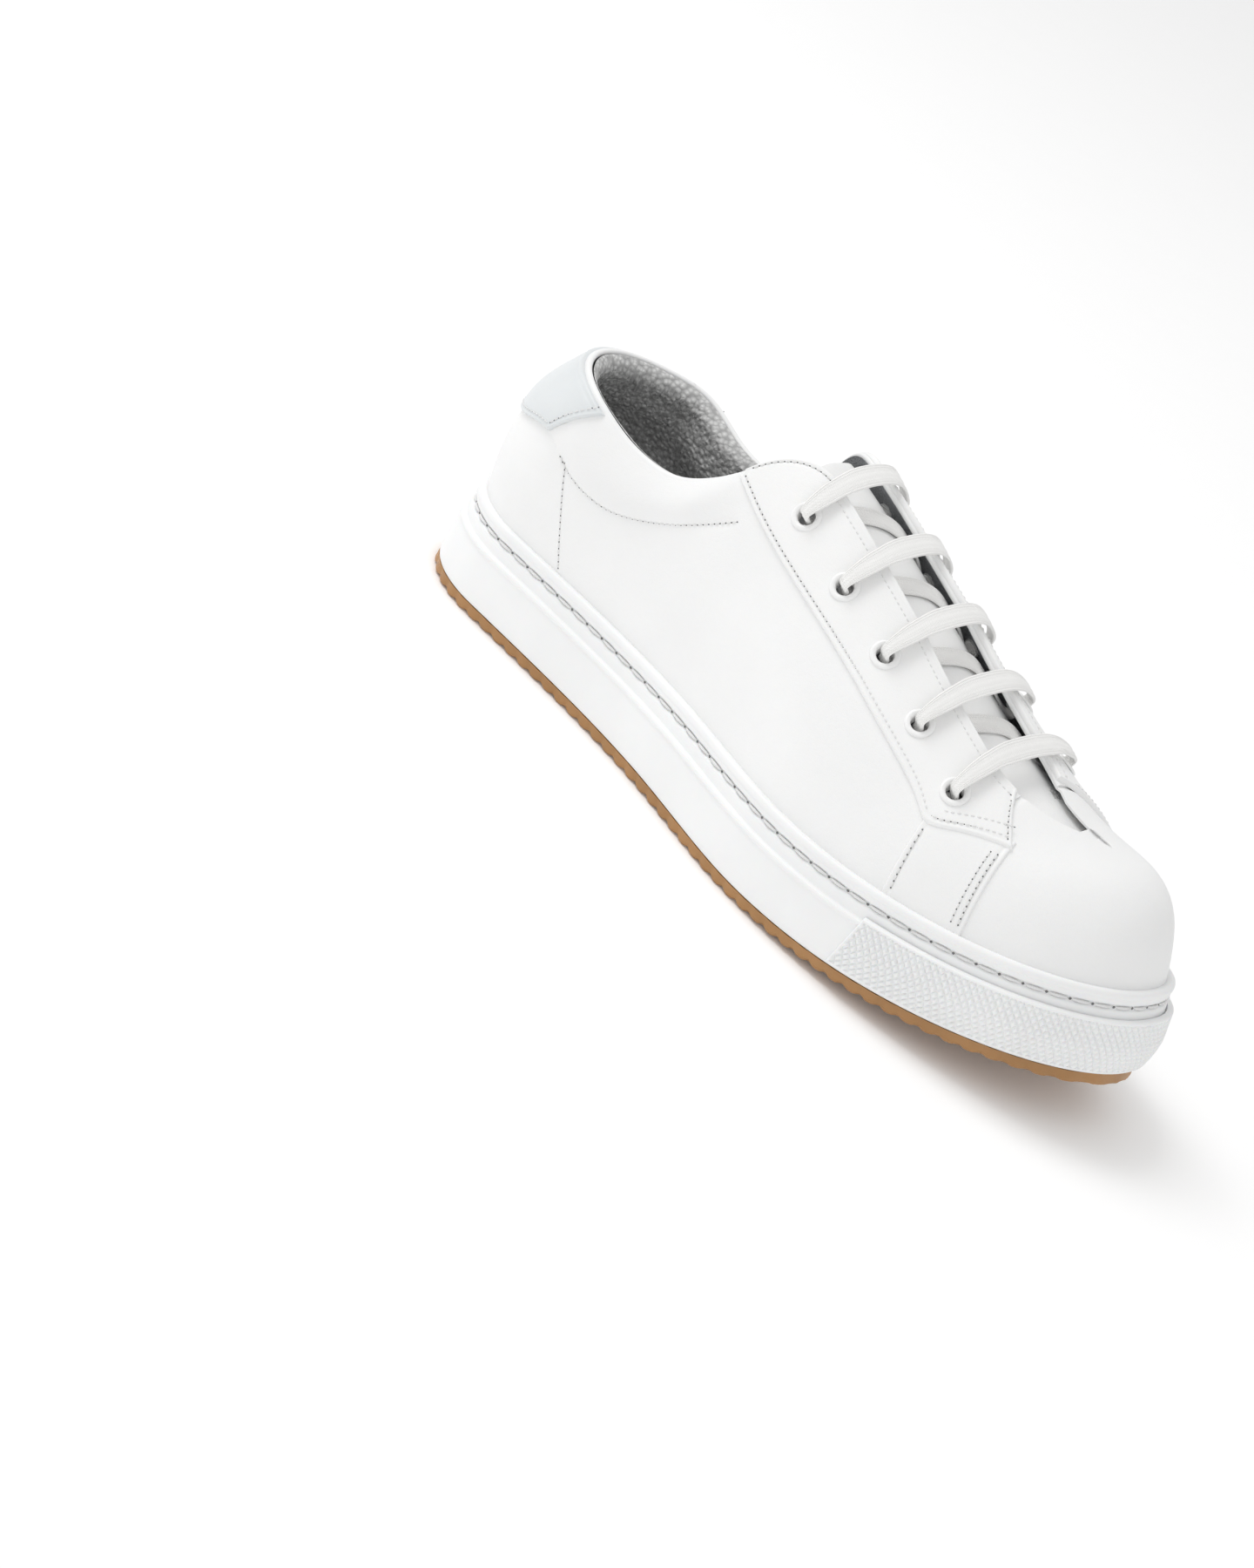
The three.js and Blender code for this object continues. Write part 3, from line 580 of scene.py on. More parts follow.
@dataclass(frozen=True)
class WovenCotton:
    """Flat woven tape: crossing picks over lengthwise ribs, from the piece's own UV, with painted shade where
    the weave dips.
    """

    name: str
    light: tuple[float, float, float]
    dark: tuple[float, float, float]
    picks: float = 1500.0

    def build(self) -> Material:
        """The tape's node tree; UV runs in metres, u along the tape and v round it."""
        n = NodeTree(self.name)
        own = n.node("ShaderNodeUVMap", uv_map="tape").outputs[0]
        split = n.node("ShaderNodeSeparateXYZ", Vector=own)
        along = n.math("SINE", n.math("MULTIPLY", split.outputs[0], 2 * math.pi * self.picks))
        across = n.math("SINE", n.math("MULTIPLY", split.outputs[1], 2 * math.pi * self.picks * 1.3))
        weave = n.math("MULTIPLY", along, across)
        fuzz = n.noise(3200.0, 3.0, 0.7)
        soil = n.noise(60.0, 3.0)
        normal = n.bump(n.ramp(weave, -1.0, 1.0), 0.00016, 0.8)
        normal = n.bump(fuzz, 0.0001, 0.6, normal)
        # painted shade where the weave dips, times soil blotches
        shade = n.math("MULTIPLY", n.ramp(weave, -1.0, 0.6, 0.72, 1.0), n.ramp(soil, 0.3, 0.7, 0.9, 1.0))
        return n.finish(
            color=n.blend(shade, self.dark, self.light),
            roughness=n.ramp(fuzz, 0.2, 0.8, 0.8, 0.95),
            normal=normal,
            Sheen_Weight=0.25,
            Sheen_Roughness=0.4,
        )


@dataclass(frozen=True)
class TwistedThread:
    """Bonded sewing thread: tight, slightly glossy fibres."""

    name: str
    light: tuple[float, float, float]
    dark: tuple[float, float, float]

    def build(self) -> Material:
        """The thread's node tree."""
        n = NodeTree(self.name)
        fibres = n.noise(5200.0, 2.0, 0.6)
        return n.finish(
            color=n.blend(n.ramp(fibres, 0.3, 0.7), self.dark, self.light),
            roughness=n.ramp(fibres, 0.2, 0.8, 0.5, 0.75),
            normal=n.bump(fibres, 0.00008, 0.7),
        )


@dataclass(frozen=True)
class StovedPaint:
    """Painted metal: an even coat with a faint orange-peel skin."""

    name: str
    light: tuple[float, float, float]
    dark: tuple[float, float, float]
    metal: float = 0.0
    rough: float = 0.3

    def build(self) -> Material:
        """The paint's node tree."""
        n = NodeTree(self.name)
        peel = n.noise(1400.0, 2.0, 0.5)
        return n.finish(
            color=n.blend(n.ramp(peel, 0.3, 0.7), self.dark, self.light),
            roughness=n.ramp(peel, 0.3, 0.7, self.rough, self.rough + 0.1),
            normal=n.bump(peel, 0.00006, 0.4),
            Metallic=self.metal,
            Coat_Weight=0.25,
            Coat_Roughness=0.2,
        )


class Wardrobe:
    """Every finish on the shoe, each built once."""

    def __init__(self) -> None:
        """Builds the materials."""
        leather = SmoothLeather("white_calf", (0.90, 0.90, 0.895), (0.87, 0.87, 0.865))
        self.leather = leather.build()
        self.grey_leather = SmoothLeather(
            "silver_grey_calf", (0.74, 0.765, 0.775), (0.69, 0.715, 0.725), shine=0.34
        ).build()
        self.white_rubber = MouldedRubber("cup_rubber", (0.90, 0.905, 0.905), (0.875, 0.88, 0.88)).build()
        self.gum = MouldedRubber(
            "gum_rubber", (0.43, 0.225, 0.085), (0.36, 0.185, 0.065), rough=0.46, glow=0.2
        ).build()
        # the terry's dark colour is painted shade, laid into the gaps between its loops
        self.terry = LoopedTextile("terry_lining", (0.80, 0.80, 0.79), (0.27, 0.27, 0.27), 560.0).build()
        self.facing_cloth = LoopedTextile(
            "facing_cloth", (0.52, 0.535, 0.555), (0.30, 0.31, 0.325), 1900.0, 0.15
        ).build()
        self.black_cloth = LoopedTextile(
            "footbed_cloth", (0.035, 0.035, 0.04), (0.010, 0.010, 0.012), 1500.0, 0.15
        ).build()
        self.foam = LoopedTextile("open_foam", (0.78, 0.76, 0.70), (0.50, 0.48, 0.42), 1800.0, 0.0).build()
        self.board = LoopedTextile(
            "fibre_board", (0.075, 0.07, 0.065), (0.04, 0.038, 0.035), 2600.0, 0.0
        ).build()
        self.thread = TwistedThread("bonded_thread", (0.86, 0.86, 0.855), (0.74, 0.74, 0.735)).build()
        # needle holes: dark grey lenses, painted shade for the holes' depth
        self.hole = TwistedThread("needle_hole_shade", (0.20, 0.20, 0.20), (0.12, 0.12, 0.12)).build()
        self.cotton = WovenCotton("lace_cotton", (0.97, 0.965, 0.95), (0.86, 0.855, 0.84)).build()
        self.paint = StovedPaint("eyelet_paint", (0.90, 0.90, 0.895), (0.88, 0.88, 0.875)).build()
        self.film = StovedPaint("tip_film", (0.85, 0.85, 0.82), (0.80, 0.80, 0.77), rough=0.12).build()
        self.floor = MouldedRubber("paper_sweep", (0.975, 0.975, 0.975), (0.97, 0.97, 0.97), 0.9, 0.0).build()
        surface = self.floor.node_tree.nodes["Principled BSDF"].inputs
        surface["Emission Color"].default_value = (1.0, 1.0, 1.0, 1.0)
        surface["Emission Strength"].default_value = 0.06


# ---------------------------------------------------------------- meshes


def grid_faces(rows: int, columns: int, wrap: bool = False) -> Array:
    """Quads of a rows x columns grid of vertices.

    Args:
        rows, columns: the grid's size.
        wrap: whether the last column joins the first.

    Returns:
        (n, 4) vertex indices.
    """
    i, j = np.meshgrid(np.arange(rows - 1), np.arange(columns if wrap else columns - 1), indexing="ij")
    k = (j + 1) % columns
    low, high = i * columns, (i + 1) * columns
    return np.stack([low + j, high + j, high + k, low + k], -1).reshape(-1, 4)


def unit_grid(columns: int, rows: int) -> tuple[Array, Array]:
    """Two (columns, rows) arrays that run from 0 to 1 along and up a surface."""
    return np.meshgrid(np.linspace(0, 1, columns), np.linspace(0, 1, rows), indexing="ij")


def fine(count: int) -> int:
    return int(count * DETAIL)


def piece(
    name: str,
    vertices: Array,
    faces: Array,
    material: Material,
    uv: Optional[Array] = None,
    weld: bool = True,
    flip_check: bool = True,
    smooth_angle: float = 40.0,
) -> Piece:
    """Makes a mesh object from arrays, with its seams welded and its faces outward.

    Args:
        name: the object's name.
        vertices: (n, 3) metres.
        faces: (m, 3 or 4) vertex indices.
        material: its finish.
        uv: (n, 2) coordinates of the vertices, or None.
        weld: whether equal vertices are joined.
        flip_check: whether the faces are turned outward.
        smooth_angle: edges sharper than this many degrees stay sharp.

    Returns:
        The object, linked to the scene.
    """
    vertices = np.ascontiguousarray(vertices.reshape(-1, 3), dtype=np.float32)
    faces = np.ascontiguousarray(faces, dtype=np.int32)
    sides = faces.shape[1]
    mesh = bpy.data.meshes.new(name)
    mesh.vertices.add(len(vertices))
    mesh.vertices.foreach_set("co", vertices.ravel())
    mesh.loops.add(faces.size)
    mesh.loops.foreach_set("vertex_index", faces.ravel())
    mesh.polygons.add(len(faces))
    mesh.polygons.foreach_set("loop_start", np.arange(0, faces.size, sides, dtype=np.int32))
    mesh.polygons.foreach_set("loop_total", np.full(len(faces), sides, np.int32))
    mesh.update(calc_edges=True)
    if uv is not None:
        layer = mesh.uv_layers.new(name="tape")
        layer.data.foreach_set("uv", np.ascontiguousarray(uv[faces.ravel()], np.float32).ravel())
    mesh.validate()
    if weld or flip_check:
        bm = bmesh.new()
        bm.from_mesh(mesh)
        if weld:
            bmesh.ops.remove_doubles(bm, verts=bm.verts, dist=2e-6)
            bmesh.ops.dissolve_degenerate(bm, edges=bm.edges, dist=1e-7)
        if flip_check:
            bmesh.ops.recalc_face_normals(bm, faces=bm.faces)
        bm.to_mesh(mesh)
        bm.free()
    mesh.polygons.foreach_set("use_smooth", np.ones(len(mesh.polygons), bool))
    mesh.set_sharp_from_angle(angle=math.radians(smooth_angle))
    mesh.materials.append(material)
    made = bpy.data.objects.new(name, mesh)
    bpy.context.scene.collection.objects.link(made)
    LOG.info("%s: %d faces", name, len(mesh.polygons))
    return made


def surface_normals(grid: Array) -> Array:
    """Unit normals of a (n, m, 3) grid, the cross product of its two directions."""
    across = np.gradient(grid, axis=0)
    up = np.gradient(grid, axis=1)
    n = np.cross(across, up)
    size = np.linalg.norm(n, axis=-1, keepdims=True)
    return n / np.maximum(size, 1e-12)


def shell(outer: Array, inner: Array, keep: Optional[Array] = None) -> tuple[Array, Array]:
    """Closes two matching grids with walls round every free edge.

    Args:
        outer, inner: (n, m, 3) grids.
        keep: (n - 1, m - 1) mask of the quads to keep, or None for all.

    Returns:
        Vertices and quads.
    """
    rows, columns = outer.shape[:2]
    faces = grid_faces(rows, columns)
    if keep is not None:
        faces = faces[keep.ravel()]
    edges = np.concatenate([faces[:, [k, (k + 1) % 4]] for k in range(4)])
    key = np.sort(edges, axis=1)
    key = key[:, 0].astype(np.int64) * rows * columns + key[:, 1]
    _, first, count = np.unique(key, return_index=True, return_counts=True)
    free = edges[first[count == 1]]
    size = rows * columns
    walls = np.stack([free[:, 1], free[:, 0], free[:, 0] + size, free[:, 1] + size], -1)
    vertices = np.concatenate([outer.reshape(-1, 3), inner.reshape(-1, 3)])
    return vertices, np.concatenate([faces, faces[:, ::-1] + size, walls])


def edge_rows(length: float, spacing: float, near_steps: Sequence[float]) -> Array:
    """Positions 0..1 along a length, with extra ones at near_steps millimetres from its ends."""
    count = max(4, int(round(length / spacing * DETAIL)))
    base = np.linspace(0, 1, count + 1)
    near = np.array(near_steps) / length
    inner = base[(base > near[-1] * 1.2) & (base < 1 - near[-1] * 1.2)]
    return np.unique(np.concatenate([[0.0], near, inner, 1 - near, [1.0]]))


EDGE_STEPS = (0.04, 0.14, 0.3, 0.5, 0.75, 1.1, 1.5, 1.9, 2.3, 2.8)


def edge_height(distance: Array, height: float, radius: float, groove: float) -> Array:
    """Height of a sewn-on layer by distance from its edge: a quarter round, then a stitch groove."""
    rise = np.sqrt(np.maximum(1 - (1 - np.clip(distance / radius, 0, 1)) ** 2, 0))
    return height * rise - 0.22 * np.exp(-(((distance - groove) / 0.55) ** 2))


def tube(
    path: Array, wide: Array, section: Callable[[Array, Array], Array], around: int
) -> tuple[Array, Array, Array]:
    """Carries a section along a path.

    Args:
        path: (n, 3) centreline.
        wide: (n, 3) unit vectors across the path.
        section: gives (n, around, 2) offsets along wide and thin for (share, angle).
        around: points round the section.

    Returns:
        Vertices, quads with closed ends, and UV in metres.
    """
    along = np.gradient(path, axis=0)
    along /= np.linalg.norm(along, axis=-1, keepdims=True)
    wide = wide - along * np.sum(wide * along, -1, keepdims=True)
    wide /= np.linalg.norm(wide, axis=-1, keepdims=True)
    thin = np.cross(along, wide)
    share = np.linspace(0, 1, len(path))[:, None]
    angle = np.linspace(0, 2 * np.pi, around, endpoint=False)[None, :]
    offsets = section(share, angle)
    rings = path[:, None] + wide[:, None] * offsets[..., :1] + thin[:, None] * offsets[..., 1:]
    n = len(path)
    first, last = (np.repeat(end[:, None], around, 1) for end in (path[:1], path[-1:]))
    rings = np.concatenate([first, rings, last])
    travelled = np.concatenate([[0], np.cumsum(np.linalg.norm(np.diff(path, axis=0), axis=-1))])
    travelled = np.concatenate([[travelled[0]], travelled, [travelled[-1]]])
    u = np.repeat(travelled[:, None], around, 1)
    v = np.concatenate([offsets[:1, :, 0], offsets[..., 0], offsets[-1:, :, 0]])
    return rings.reshape(-1, 3), grid_faces(n + 2, around, wrap=True), np.stack([u, v], -1).reshape(-1, 2)


# ---------------------------------------------------------------- stitching


@dataclass
class StitchRow:
    """A run of separate stitches, each dipping into its own needle holes."""

    points: Array
    normals: Array
    pitch: float = 2.0
    radius: float = 0.27
    hole: float = 0.26
    fill: float = 0.78

    def along(self, distance: Array) -> tuple[Array, Array, Array]:
        """Points, directions and normals at distances along the row, in millimetres."""
        steps = np.linalg.norm(np.diff(self.points, axis=0), axis=-1)
        run = np.concatenate([[0], np.cumsum(steps)]) * 1000

        def pick(values: Array, shift: float = 0.0) -> Array:
            """The row's values at the distances, moved on by shift millimetres."""
            return np.stack([np.interp(distance + shift, run, values[:, k]) for k in range(3)], -1)

        direction = unit(pick(self.points, 0.3) - pick(self.points, -0.3))
        return pick(self.points), direction, unit(pick(self.normals))

    def length(self) -> float:
        """The row's length in millimetres."""
        return float(np.linalg.norm(np.diff(self.points, axis=0), axis=-1).sum() * 1000)

    def stitches(self) -> tuple[Array, Array]:
        """Stitch solids: five rings of six along an arch that sinks at both ends.

        Returns:
            Vertices and quads.
        """
        count = max(1, int(self.length() / self.pitch))
        middle = (np.arange(count) + 0.5) * self.length() / count
        share = np.array([-1.0, -0.72, 0.0, 0.72, 1.0])
        size = np.array([0.25, 0.8, 1.0, 0.8, 0.25])
        lift = np.array([-0.9, 0.25, 0.75, 0.25, -0.9]) * self.radius
        reach = self.length() / count * self.fill / 2
        at = middle[:, None] + share[None] * reach
        here, direction, normal = self.along(at.ravel())
        shape = (count, 5, 1, 3)
        here, direction, normal = (k.reshape(shape) for k in (here, direction, normal))
        across = np.cross(direction, normal)
        angle = np.linspace(0, 2 * np.pi, 6, endpoint=False)[None, None, :, None]
        radius = (self.radius * size)[None, :, None, None] / 1000
        rise = lift[None, :, None, None] / 1000
        rings = here + normal * rise + radius * (across * np.cos(angle) + normal * np.sin(angle))
        tips = np.repeat(here + normal * rise, 6, 2)
        rings = np.concatenate([tips[:, :1], rings, tips[:, 4:]], 1)
        return self.repeated(rings)

    def repeated(self, rings: Array) -> tuple[Array, Array]:
        """Quads of many ringed solids, (count, rings, around, 3)."""
        count, n, around = rings.shape[:3]
        faces = grid_faces(n, around, wrap=True)
        faces = (faces[None] + (np.arange(count) * n * around)[:, None, None]).reshape(-1, 4)
        return rings.reshape(-1, 3), faces

    def holes(self) -> tuple[Array, Array]:
        """Needle holes: small dark lenses lying in the surface between the stitches, painted shade for each
        hole's depth.

        Returns:
            Vertices and quads.
        """
        count = max(1, int(self.length() / self.pitch))
        at = np.arange(count + 1) * self.length() / count
        here, direction, normal = self.along(at)
        across = np.cross(direction, normal)
        angle = np.linspace(0, 2 * np.pi, 8, endpoint=False)[None, None, :, None]
        radius = np.array([0.0, 1.0, 0.55, 0.0])[None, :, None, None] * self.hole / 1000
        rise = np.array([-0.1, 0.015, 0.05, 0.06])[None, :, None, None] / 1000
        centre, side, up, run = (k[:, None, None, :] for k in (here, across, normal, direction))
        rings = centre + up * rise + radius * (side * np.cos(angle) + run * 1.15 * np.sin(angle))
        return self.repeated(rings)


def sew(name: str, rows: Sequence[StitchRow], clothes: Wardrobe) -> list[Piece]:
    """Makes the stitches and needle holes of several rows; the holes are dark lenses of painted shade.

    Args:
        name: start of the pieces' names.
        rows: the rows.
        clothes: the finishes.

    Returns:
        The thread piece and the hole piece.
    """
    made = []
    for kind, material in (("stitches", clothes.thread), ("holes", clothes.hole)):
        vertices, faces, start = [], [], 0
        for row in rows:
            points, quads = getattr(row, kind)()
            vertices.append(points)
            faces.append(quads + start)
            start += len(points)
        mesh = np.concatenate(vertices), np.concatenate(faces)
        obj = piece(f"{name}_{kind}", *mesh, material, smooth_angle=180)
        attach(obj, "shoe")
        made.append(obj)
    return made


def surface_row(a: Values, side: Values, v: Values, offset: Values, **options) -> StitchRow:
    """A stitch row along last parameters, lying offset millimetres out.

    Args:
        a, side, v: last parameters, arrays of one length.
        offset: how far out the surface is.
        **options: StitchRow's own sizes.

    Returns:
        The row.
    """
    a, side, v, offset = np.broadcast_arrays(*(np.asarray(k, float) for k in (a, side, v, offset)))
    here = LAST.layer(a, side, v, offset)
    out = LAST.layer(a, side, v, offset + 1.0) - here
    return StitchRow(here, out / np.linalg.norm(out, axis=-1, keepdims=True), **options)


# ---------------------------------------------------------------- sole


@dataclass
class CupSole:
    """White rubber cup with its rolled rim, stitched channel and ridged toe band."""

    stations: int = 300
    channel: float = 26.7
    stitch_pitch: float = 7.4
    bumper_from: float = 222.0
    bumper_top: float = 23.4
    knurl_pitch: float = 2.6
    knurl_height: float = 0.8
    profile: tuple[tuple[Optional[float], float], ...] = (
        (None, 3.8), (4.0, 3.8), (1.1, 3.8), (0.45, 4.1), (0.12, 4.9), (0.0, 6.5), (0.0, 10), (0.0, 14),
        (0.05, 17.5), (0.1, 19.6), (0.02, 20.0), (-0.3, 20.25), (-0.42, 20.6), (-0.42, 21.1), (-0.25, 21.45),
        (0.3, 21.65), (1.0, 21.8), (1.3, 22.0), (1.4, 22.5), (1.44, 24.0), (1.48, 25.3), (1.8, 25.75),
        (2.4, 26.1), (2.6, 26.7), (2.4, 27.3), (1.8, 27.65), (1.5, 28.1), (1.46, 29.0), (1.4, 29.5),
        (1.16, 29.7), (1.05, 30.2), (1.05, 30.9), (1.25, 31.5), (1.75, 31.95), (2.4, 32.15), (3.1, 32.1),
        (4.0, 31.8), (5.0, 31.2), (5.4, 30.6), (5.4, 28.0), (5.4, 9.0), (None, 9.0),
    )

    @staticmethod
    def tuck(x: Values, z: Values) -> Array:
        """How far the sole's wall rounds inwards under the toe, growing forward and downward."""
        return 5.5 * smoothstep(x, 215, 298) * np.clip((15.0 - z) / 15.0, 0, 1) ** 1.6

    def loop(self, count: int) -> tuple[Array, Array]:
        """Stations once round the shoe, heel to toe on the outer side and back."""
        i = np.arange(2 * count)
        return np.where(i < count, i / count, 2 - i / count), np.where(i < count, -1.0, 1.0)

    def rings(self, profile: Sequence[tuple[Optional[float], float]], count: int) -> Array:
        """(profile, 2 count, 3) points; a None inset lies on the sole's middle line."""
        a, side = self.loop(count)
        out = []
        for inset, z in profile:
            if inset is None:
                x = np.clip(LAST.x_of(a), 30, LAST.LENGTH - 46)
                y = LAST.centre_line(x)
            else:
                x, y, _, _ = LAST.outline(a, side, inset + self.tuck(LAST.x_of(a), z))
            out.append(LAST.place(np.stack([x, y, np.full_like(x, z)], -1)))
        return np.stack(out)

    def cup(self, clothes: Wardrobe) -> Piece:
        """The cup: its wall profile swept once round the outline."""
        rings = self.rings(self.profile, fine(self.stations))
        faces = grid_faces(*rings.shape[:2], wrap=True)
        obj = piece("cup_sole", rings, faces, clothes.white_rubber, smooth_angle=35)
        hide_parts("cupsole")
        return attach(obj, "shoe")

    def bumper(self, clothes: Wardrobe) -> Piece:
        """The toe band, a slab whose face carries a fine diamond knurl.

        The knurl is the higher of two crossing sets of ridges, faded out at the band's
        plain border, and the band's two ends slant forward towards the top.
        """
        columns, rows = fine(1050), fine(72)
        low, high = 4.6, self.bumper_top
        u, t = unit_grid(columns, rows)
        start = LAST.a_of(self.bumper_from + 5.0 * (t - 0.5))
        a = np.where(u < 0.5, mix(start, 1.0, 2 * u), mix(1.0, start, 2 * u - 1))
        side = np.where(u < 0.5, -1.0, 1.0)
        z = mix(low, high, t)
        x, y, nx, ny = LAST.outline(a, side, self.tuck(LAST.x_of(a), z))
        step = np.hypot(np.diff(x, axis=0), np.diff(y, axis=0))
        run = np.concatenate([np.zeros((1, rows)), np.cumsum(step, axis=0)])
        edge = np.minimum(np.minimum(run, run[-1:] - run), np.minimum(z - low, high - z))
        wave = lambda k: np.abs(np.mod(k / self.knurl_pitch, 1.0) - 0.5) * 2
        middle = run[-1:] / 2
        knurl = np.minimum(wave(run - middle + z * 0.8), wave(run - middle - z * 0.8))
        cut = self.knurl_height * smoothstep(edge, 0.9, 1.4) * (1 - smoothstep(knurl, 0.0, 0.62))
        out = edge_height(edge, 1.3, 0.6, -9.0) - cut
        front = np.stack([x + nx * out, y + ny * out, z], -1)
        back = np.stack([x - nx * 0.8, y - ny * 0.8, z], -1)[:, [-1, 0]]
        loops = LAST.place(np.concatenate([front, back], 1))
        ends = [np.repeat(loops[k : k + 1].mean(1, keepdims=True), rows + 2, 1) for k in (0, -1)]
        loops = np.concatenate([ends[0], loops, ends[1]])
        vertices, faces = loops, grid_faces(columns + 2, rows + 2, wrap=True)
        obj = piece("toe_band", vertices, faces, clothes.white_rubber, smooth_angle=60)
        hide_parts("toe_bumper")
        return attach(obj, "shoe")

    def stitching(self, clothes: Wardrobe) -> list[Piece]:
        """The long sole stitches in their channel, with a dark lens of painted shade for a hole at each end.
        """
        a, side = self.loop(400)
        a, side = np.append(a, a[0]), np.append(side, side[0])
        x, y, nx, ny = LAST.outline(a, side, 2.15)
        here = LAST.place(np.stack([x, y, np.full_like(x, self.channel)], -1))
        out = LAST.place(np.stack([x + nx, y + ny, np.full_like(x, self.channel)], -1)) - here
        normal = out / np.linalg.norm(out, axis=-1, keepdims=True)
        row = StitchRow(here, normal, pitch=self.stitch_pitch, radius=0.5, hole=0.42, fill=0.86)
        made = sew("sole_seam", [row], clothes)
        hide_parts("sole_stitch_thread")
        return made

    def build(self, clothes: Wardrobe) -> None:
        """Builds the cup, the toe band and the sole seam."""
        self.cup(clothes)
        self.bumper(clothes)
        self.stitching(clothes)


@dataclass
class GumOutsole:
    """Amber gum outsole with a herringbone tread, a plain border and blank pads."""

    thickness: float = 3.7
    depth: float = 1.9
    pitch: float = 6.3
    rib: float = 4.2
    zigzag: float = 12.6
    border: float = 4.0
    notch: float = 0.7

    def relief(self, x: Array, y: Array, inside: Array) -> Array:
        """Height of the tread's face: a sawtooth of ribs bent into a zigzag, plain near the rim.

        Args:
            x, y: place on the sole.
            inside: distance from the rim.

        Returns:
            Millimetres above the ground.
        """
        fold = np.abs(np.mod(y / self.zigzag + 0.25, 1.0) - 0.5) * 2
        phase = np.mod((x - 9.0 * fold) / self.pitch, 1.0) * self.pitch
        wall = np.minimum(np.maximum(phase - self.rib, 0), self.pitch - phase)
        groove = self.depth * smoothstep(wall, 0.05, 0.55)
        groove = groove * smoothstep(inside, self.border - 0.4, self.border + 0.4)
        pad = np.maximum(np.abs(x - LAST.LENGTH / 2) - 22.0, np.abs(y + 4.0) - 9.5)
        groove = groove * smoothstep(pad, 0.0, 0.6)
        for cx in (76.0, 224.0):
            groove = groove * smoothstep(np.hypot(x - cx, y - LAST.centre_line(cx)) - 5.2, 0.0, 0.5)
        return groove

    def build(self, clothes: Wardrobe) -> Piece:
        """The outsole: the face on a grid of spokes, its rim, and a flat top."""
        columns, rows = fine(430), fine(110)
        x = np.linspace(0.02, LAST.LENGTH - 0.02, columns)
        a = LAST.a_of(x)[:, None]
        t = np.linspace(-1, 1, rows)[None]
        rib = 0.5 + 0.5 * np.cos(2 * np.pi * x[:, None] / self.pitch)
        inset = 0.3 + CupSole.tuck(x[:, None], 3.0) + 0.4 * rib**2
        xs, low = LAST.outline(a, -1.0, inset)[:2]
        xh, high = LAST.outline(a, 1.0, inset)[:2]
        gx, gy = mix(xs, xh, (t + 1) / 2), mix(low, high, (t + 1) / 2)
        centre = (low + high) / 2
        half = np.maximum((high - low) / 2, 1e-3)
        inside = np.minimum(half - np.abs(gy - centre), np.minimum(gx, LAST.LENGTH - gx))
        face = self.relief(gx, gy, inside)
        edge = 0.9 * (1 - smoothstep(inside, 0.0, 0.9))
        cut = self.notch * rib**2 * (1 - smoothstep(inside, 1.2, 2.6))
        bottom = LAST.place(np.stack([gx, gy, face + edge + cut], -1))
        top = LAST.place(np.stack([gx, gy, np.full_like(gx, self.thickness)], -1))
        vertices, faces = shell(top, bottom)
        obj = piece("gum_outsole", vertices, faces, clothes.gum, smooth_angle=30)
        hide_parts("outsole_gum")
        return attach(obj, "shoe")


# ---------------------------------------------------------------- upper


EYELET_X = (222.0, 196.0, 169.0, 144.5, 119.5)
EYELET_OFFSET = (18.5, 17.0, 16.5, 16.5, 15.0)
CORE = 0.7
STITCH_INSET = 1.9
HOLE_RADIUS = 3.5


@dataclass
class EyeletPlace:
    """Where one eyelet sits: its centre on the last and its outward direction, in metres."""

    side: Side
    index: int
    centre: Array = field(init=False)
    normal: Array = field(init=False)

    def __post_init__(self) -> None:
        """Works out the place from the station and the distance below the throat edge."""
        a = LAST.a_of(np.array(EYELET_X[self.index]))
        side = np.array(self.side.value)
        v = LAST.v_below(a, side, EYELET_OFFSET[self.index])
        self.centre = LAST.layer(a, side, v, 0.0)
        out = LAST.layer(a, side, v, 1.0) - self.centre
        self.normal = out / np.linalg.norm(out)

    def at(self, depth: float) -> Array:
        """A point on the eyelet's axis, depth millimetres out from the last."""
        return self.centre + self.normal * depth / 1000

    def spare(self, grid: Array, radius: float) -> Array:
        """Mask of a grid's quads that lie outside the eyelet's hole."""
        middle = (grid[:-1, :-1] + grid[1:, :-1] + grid[1:, 1:] + grid[:-1, 1:]) / 4
        away = middle - self.centre
        axial = away @ self.normal
        flat = away - axial[..., None] * self.normal
        return (np.linalg.norm(flat, axis=-1) > radius / 1000) | (np.abs(axial) > 0.012)


EYELETS = {side: [EyeletPlace(side, i) for i in range(len(EYELET_X))] for side in Side}


def open_holes(side: Side, grid: Array) -> Array:
    """Mask of a grid's quads that leaves one side's five eyelet holes open."""
    return np.all([place.spare(grid, HOLE_RADIUS) for place in EYELETS[side]], axis=0)


def round_toe(x_from: Values, u: Array) -> tuple[Array, Array]:
    """Stations from the outer side round the toe to the inner side."""
    start = LAST.a_of(x_from)
    return np.where(u < 0.5, mix(start, 1.0, 2 * u), mix(1.0, start, 2 * u - 1)), np.where(u < 0.5, -1.0, 1.0)


def round_heel(x_to: Values, u: Array) -> tuple[Array, Array]:
    """Stations from the outer side round the heel to the inner side."""
    end = LAST.a_of(x_to)
    return np.where(u < 0.5, mix(end, 0.0, 2 * u), mix(0.0, end, 2 * u - 1)), np.where(u < 0.5, -1.0, 1.0)


def base_v(a: Values, side: Values) -> Array:
    """The upper's lasted edge, hidden inside the cup."""
    return LAST.v_height(a, side, LAST.UPPER_BASE + 0.8)


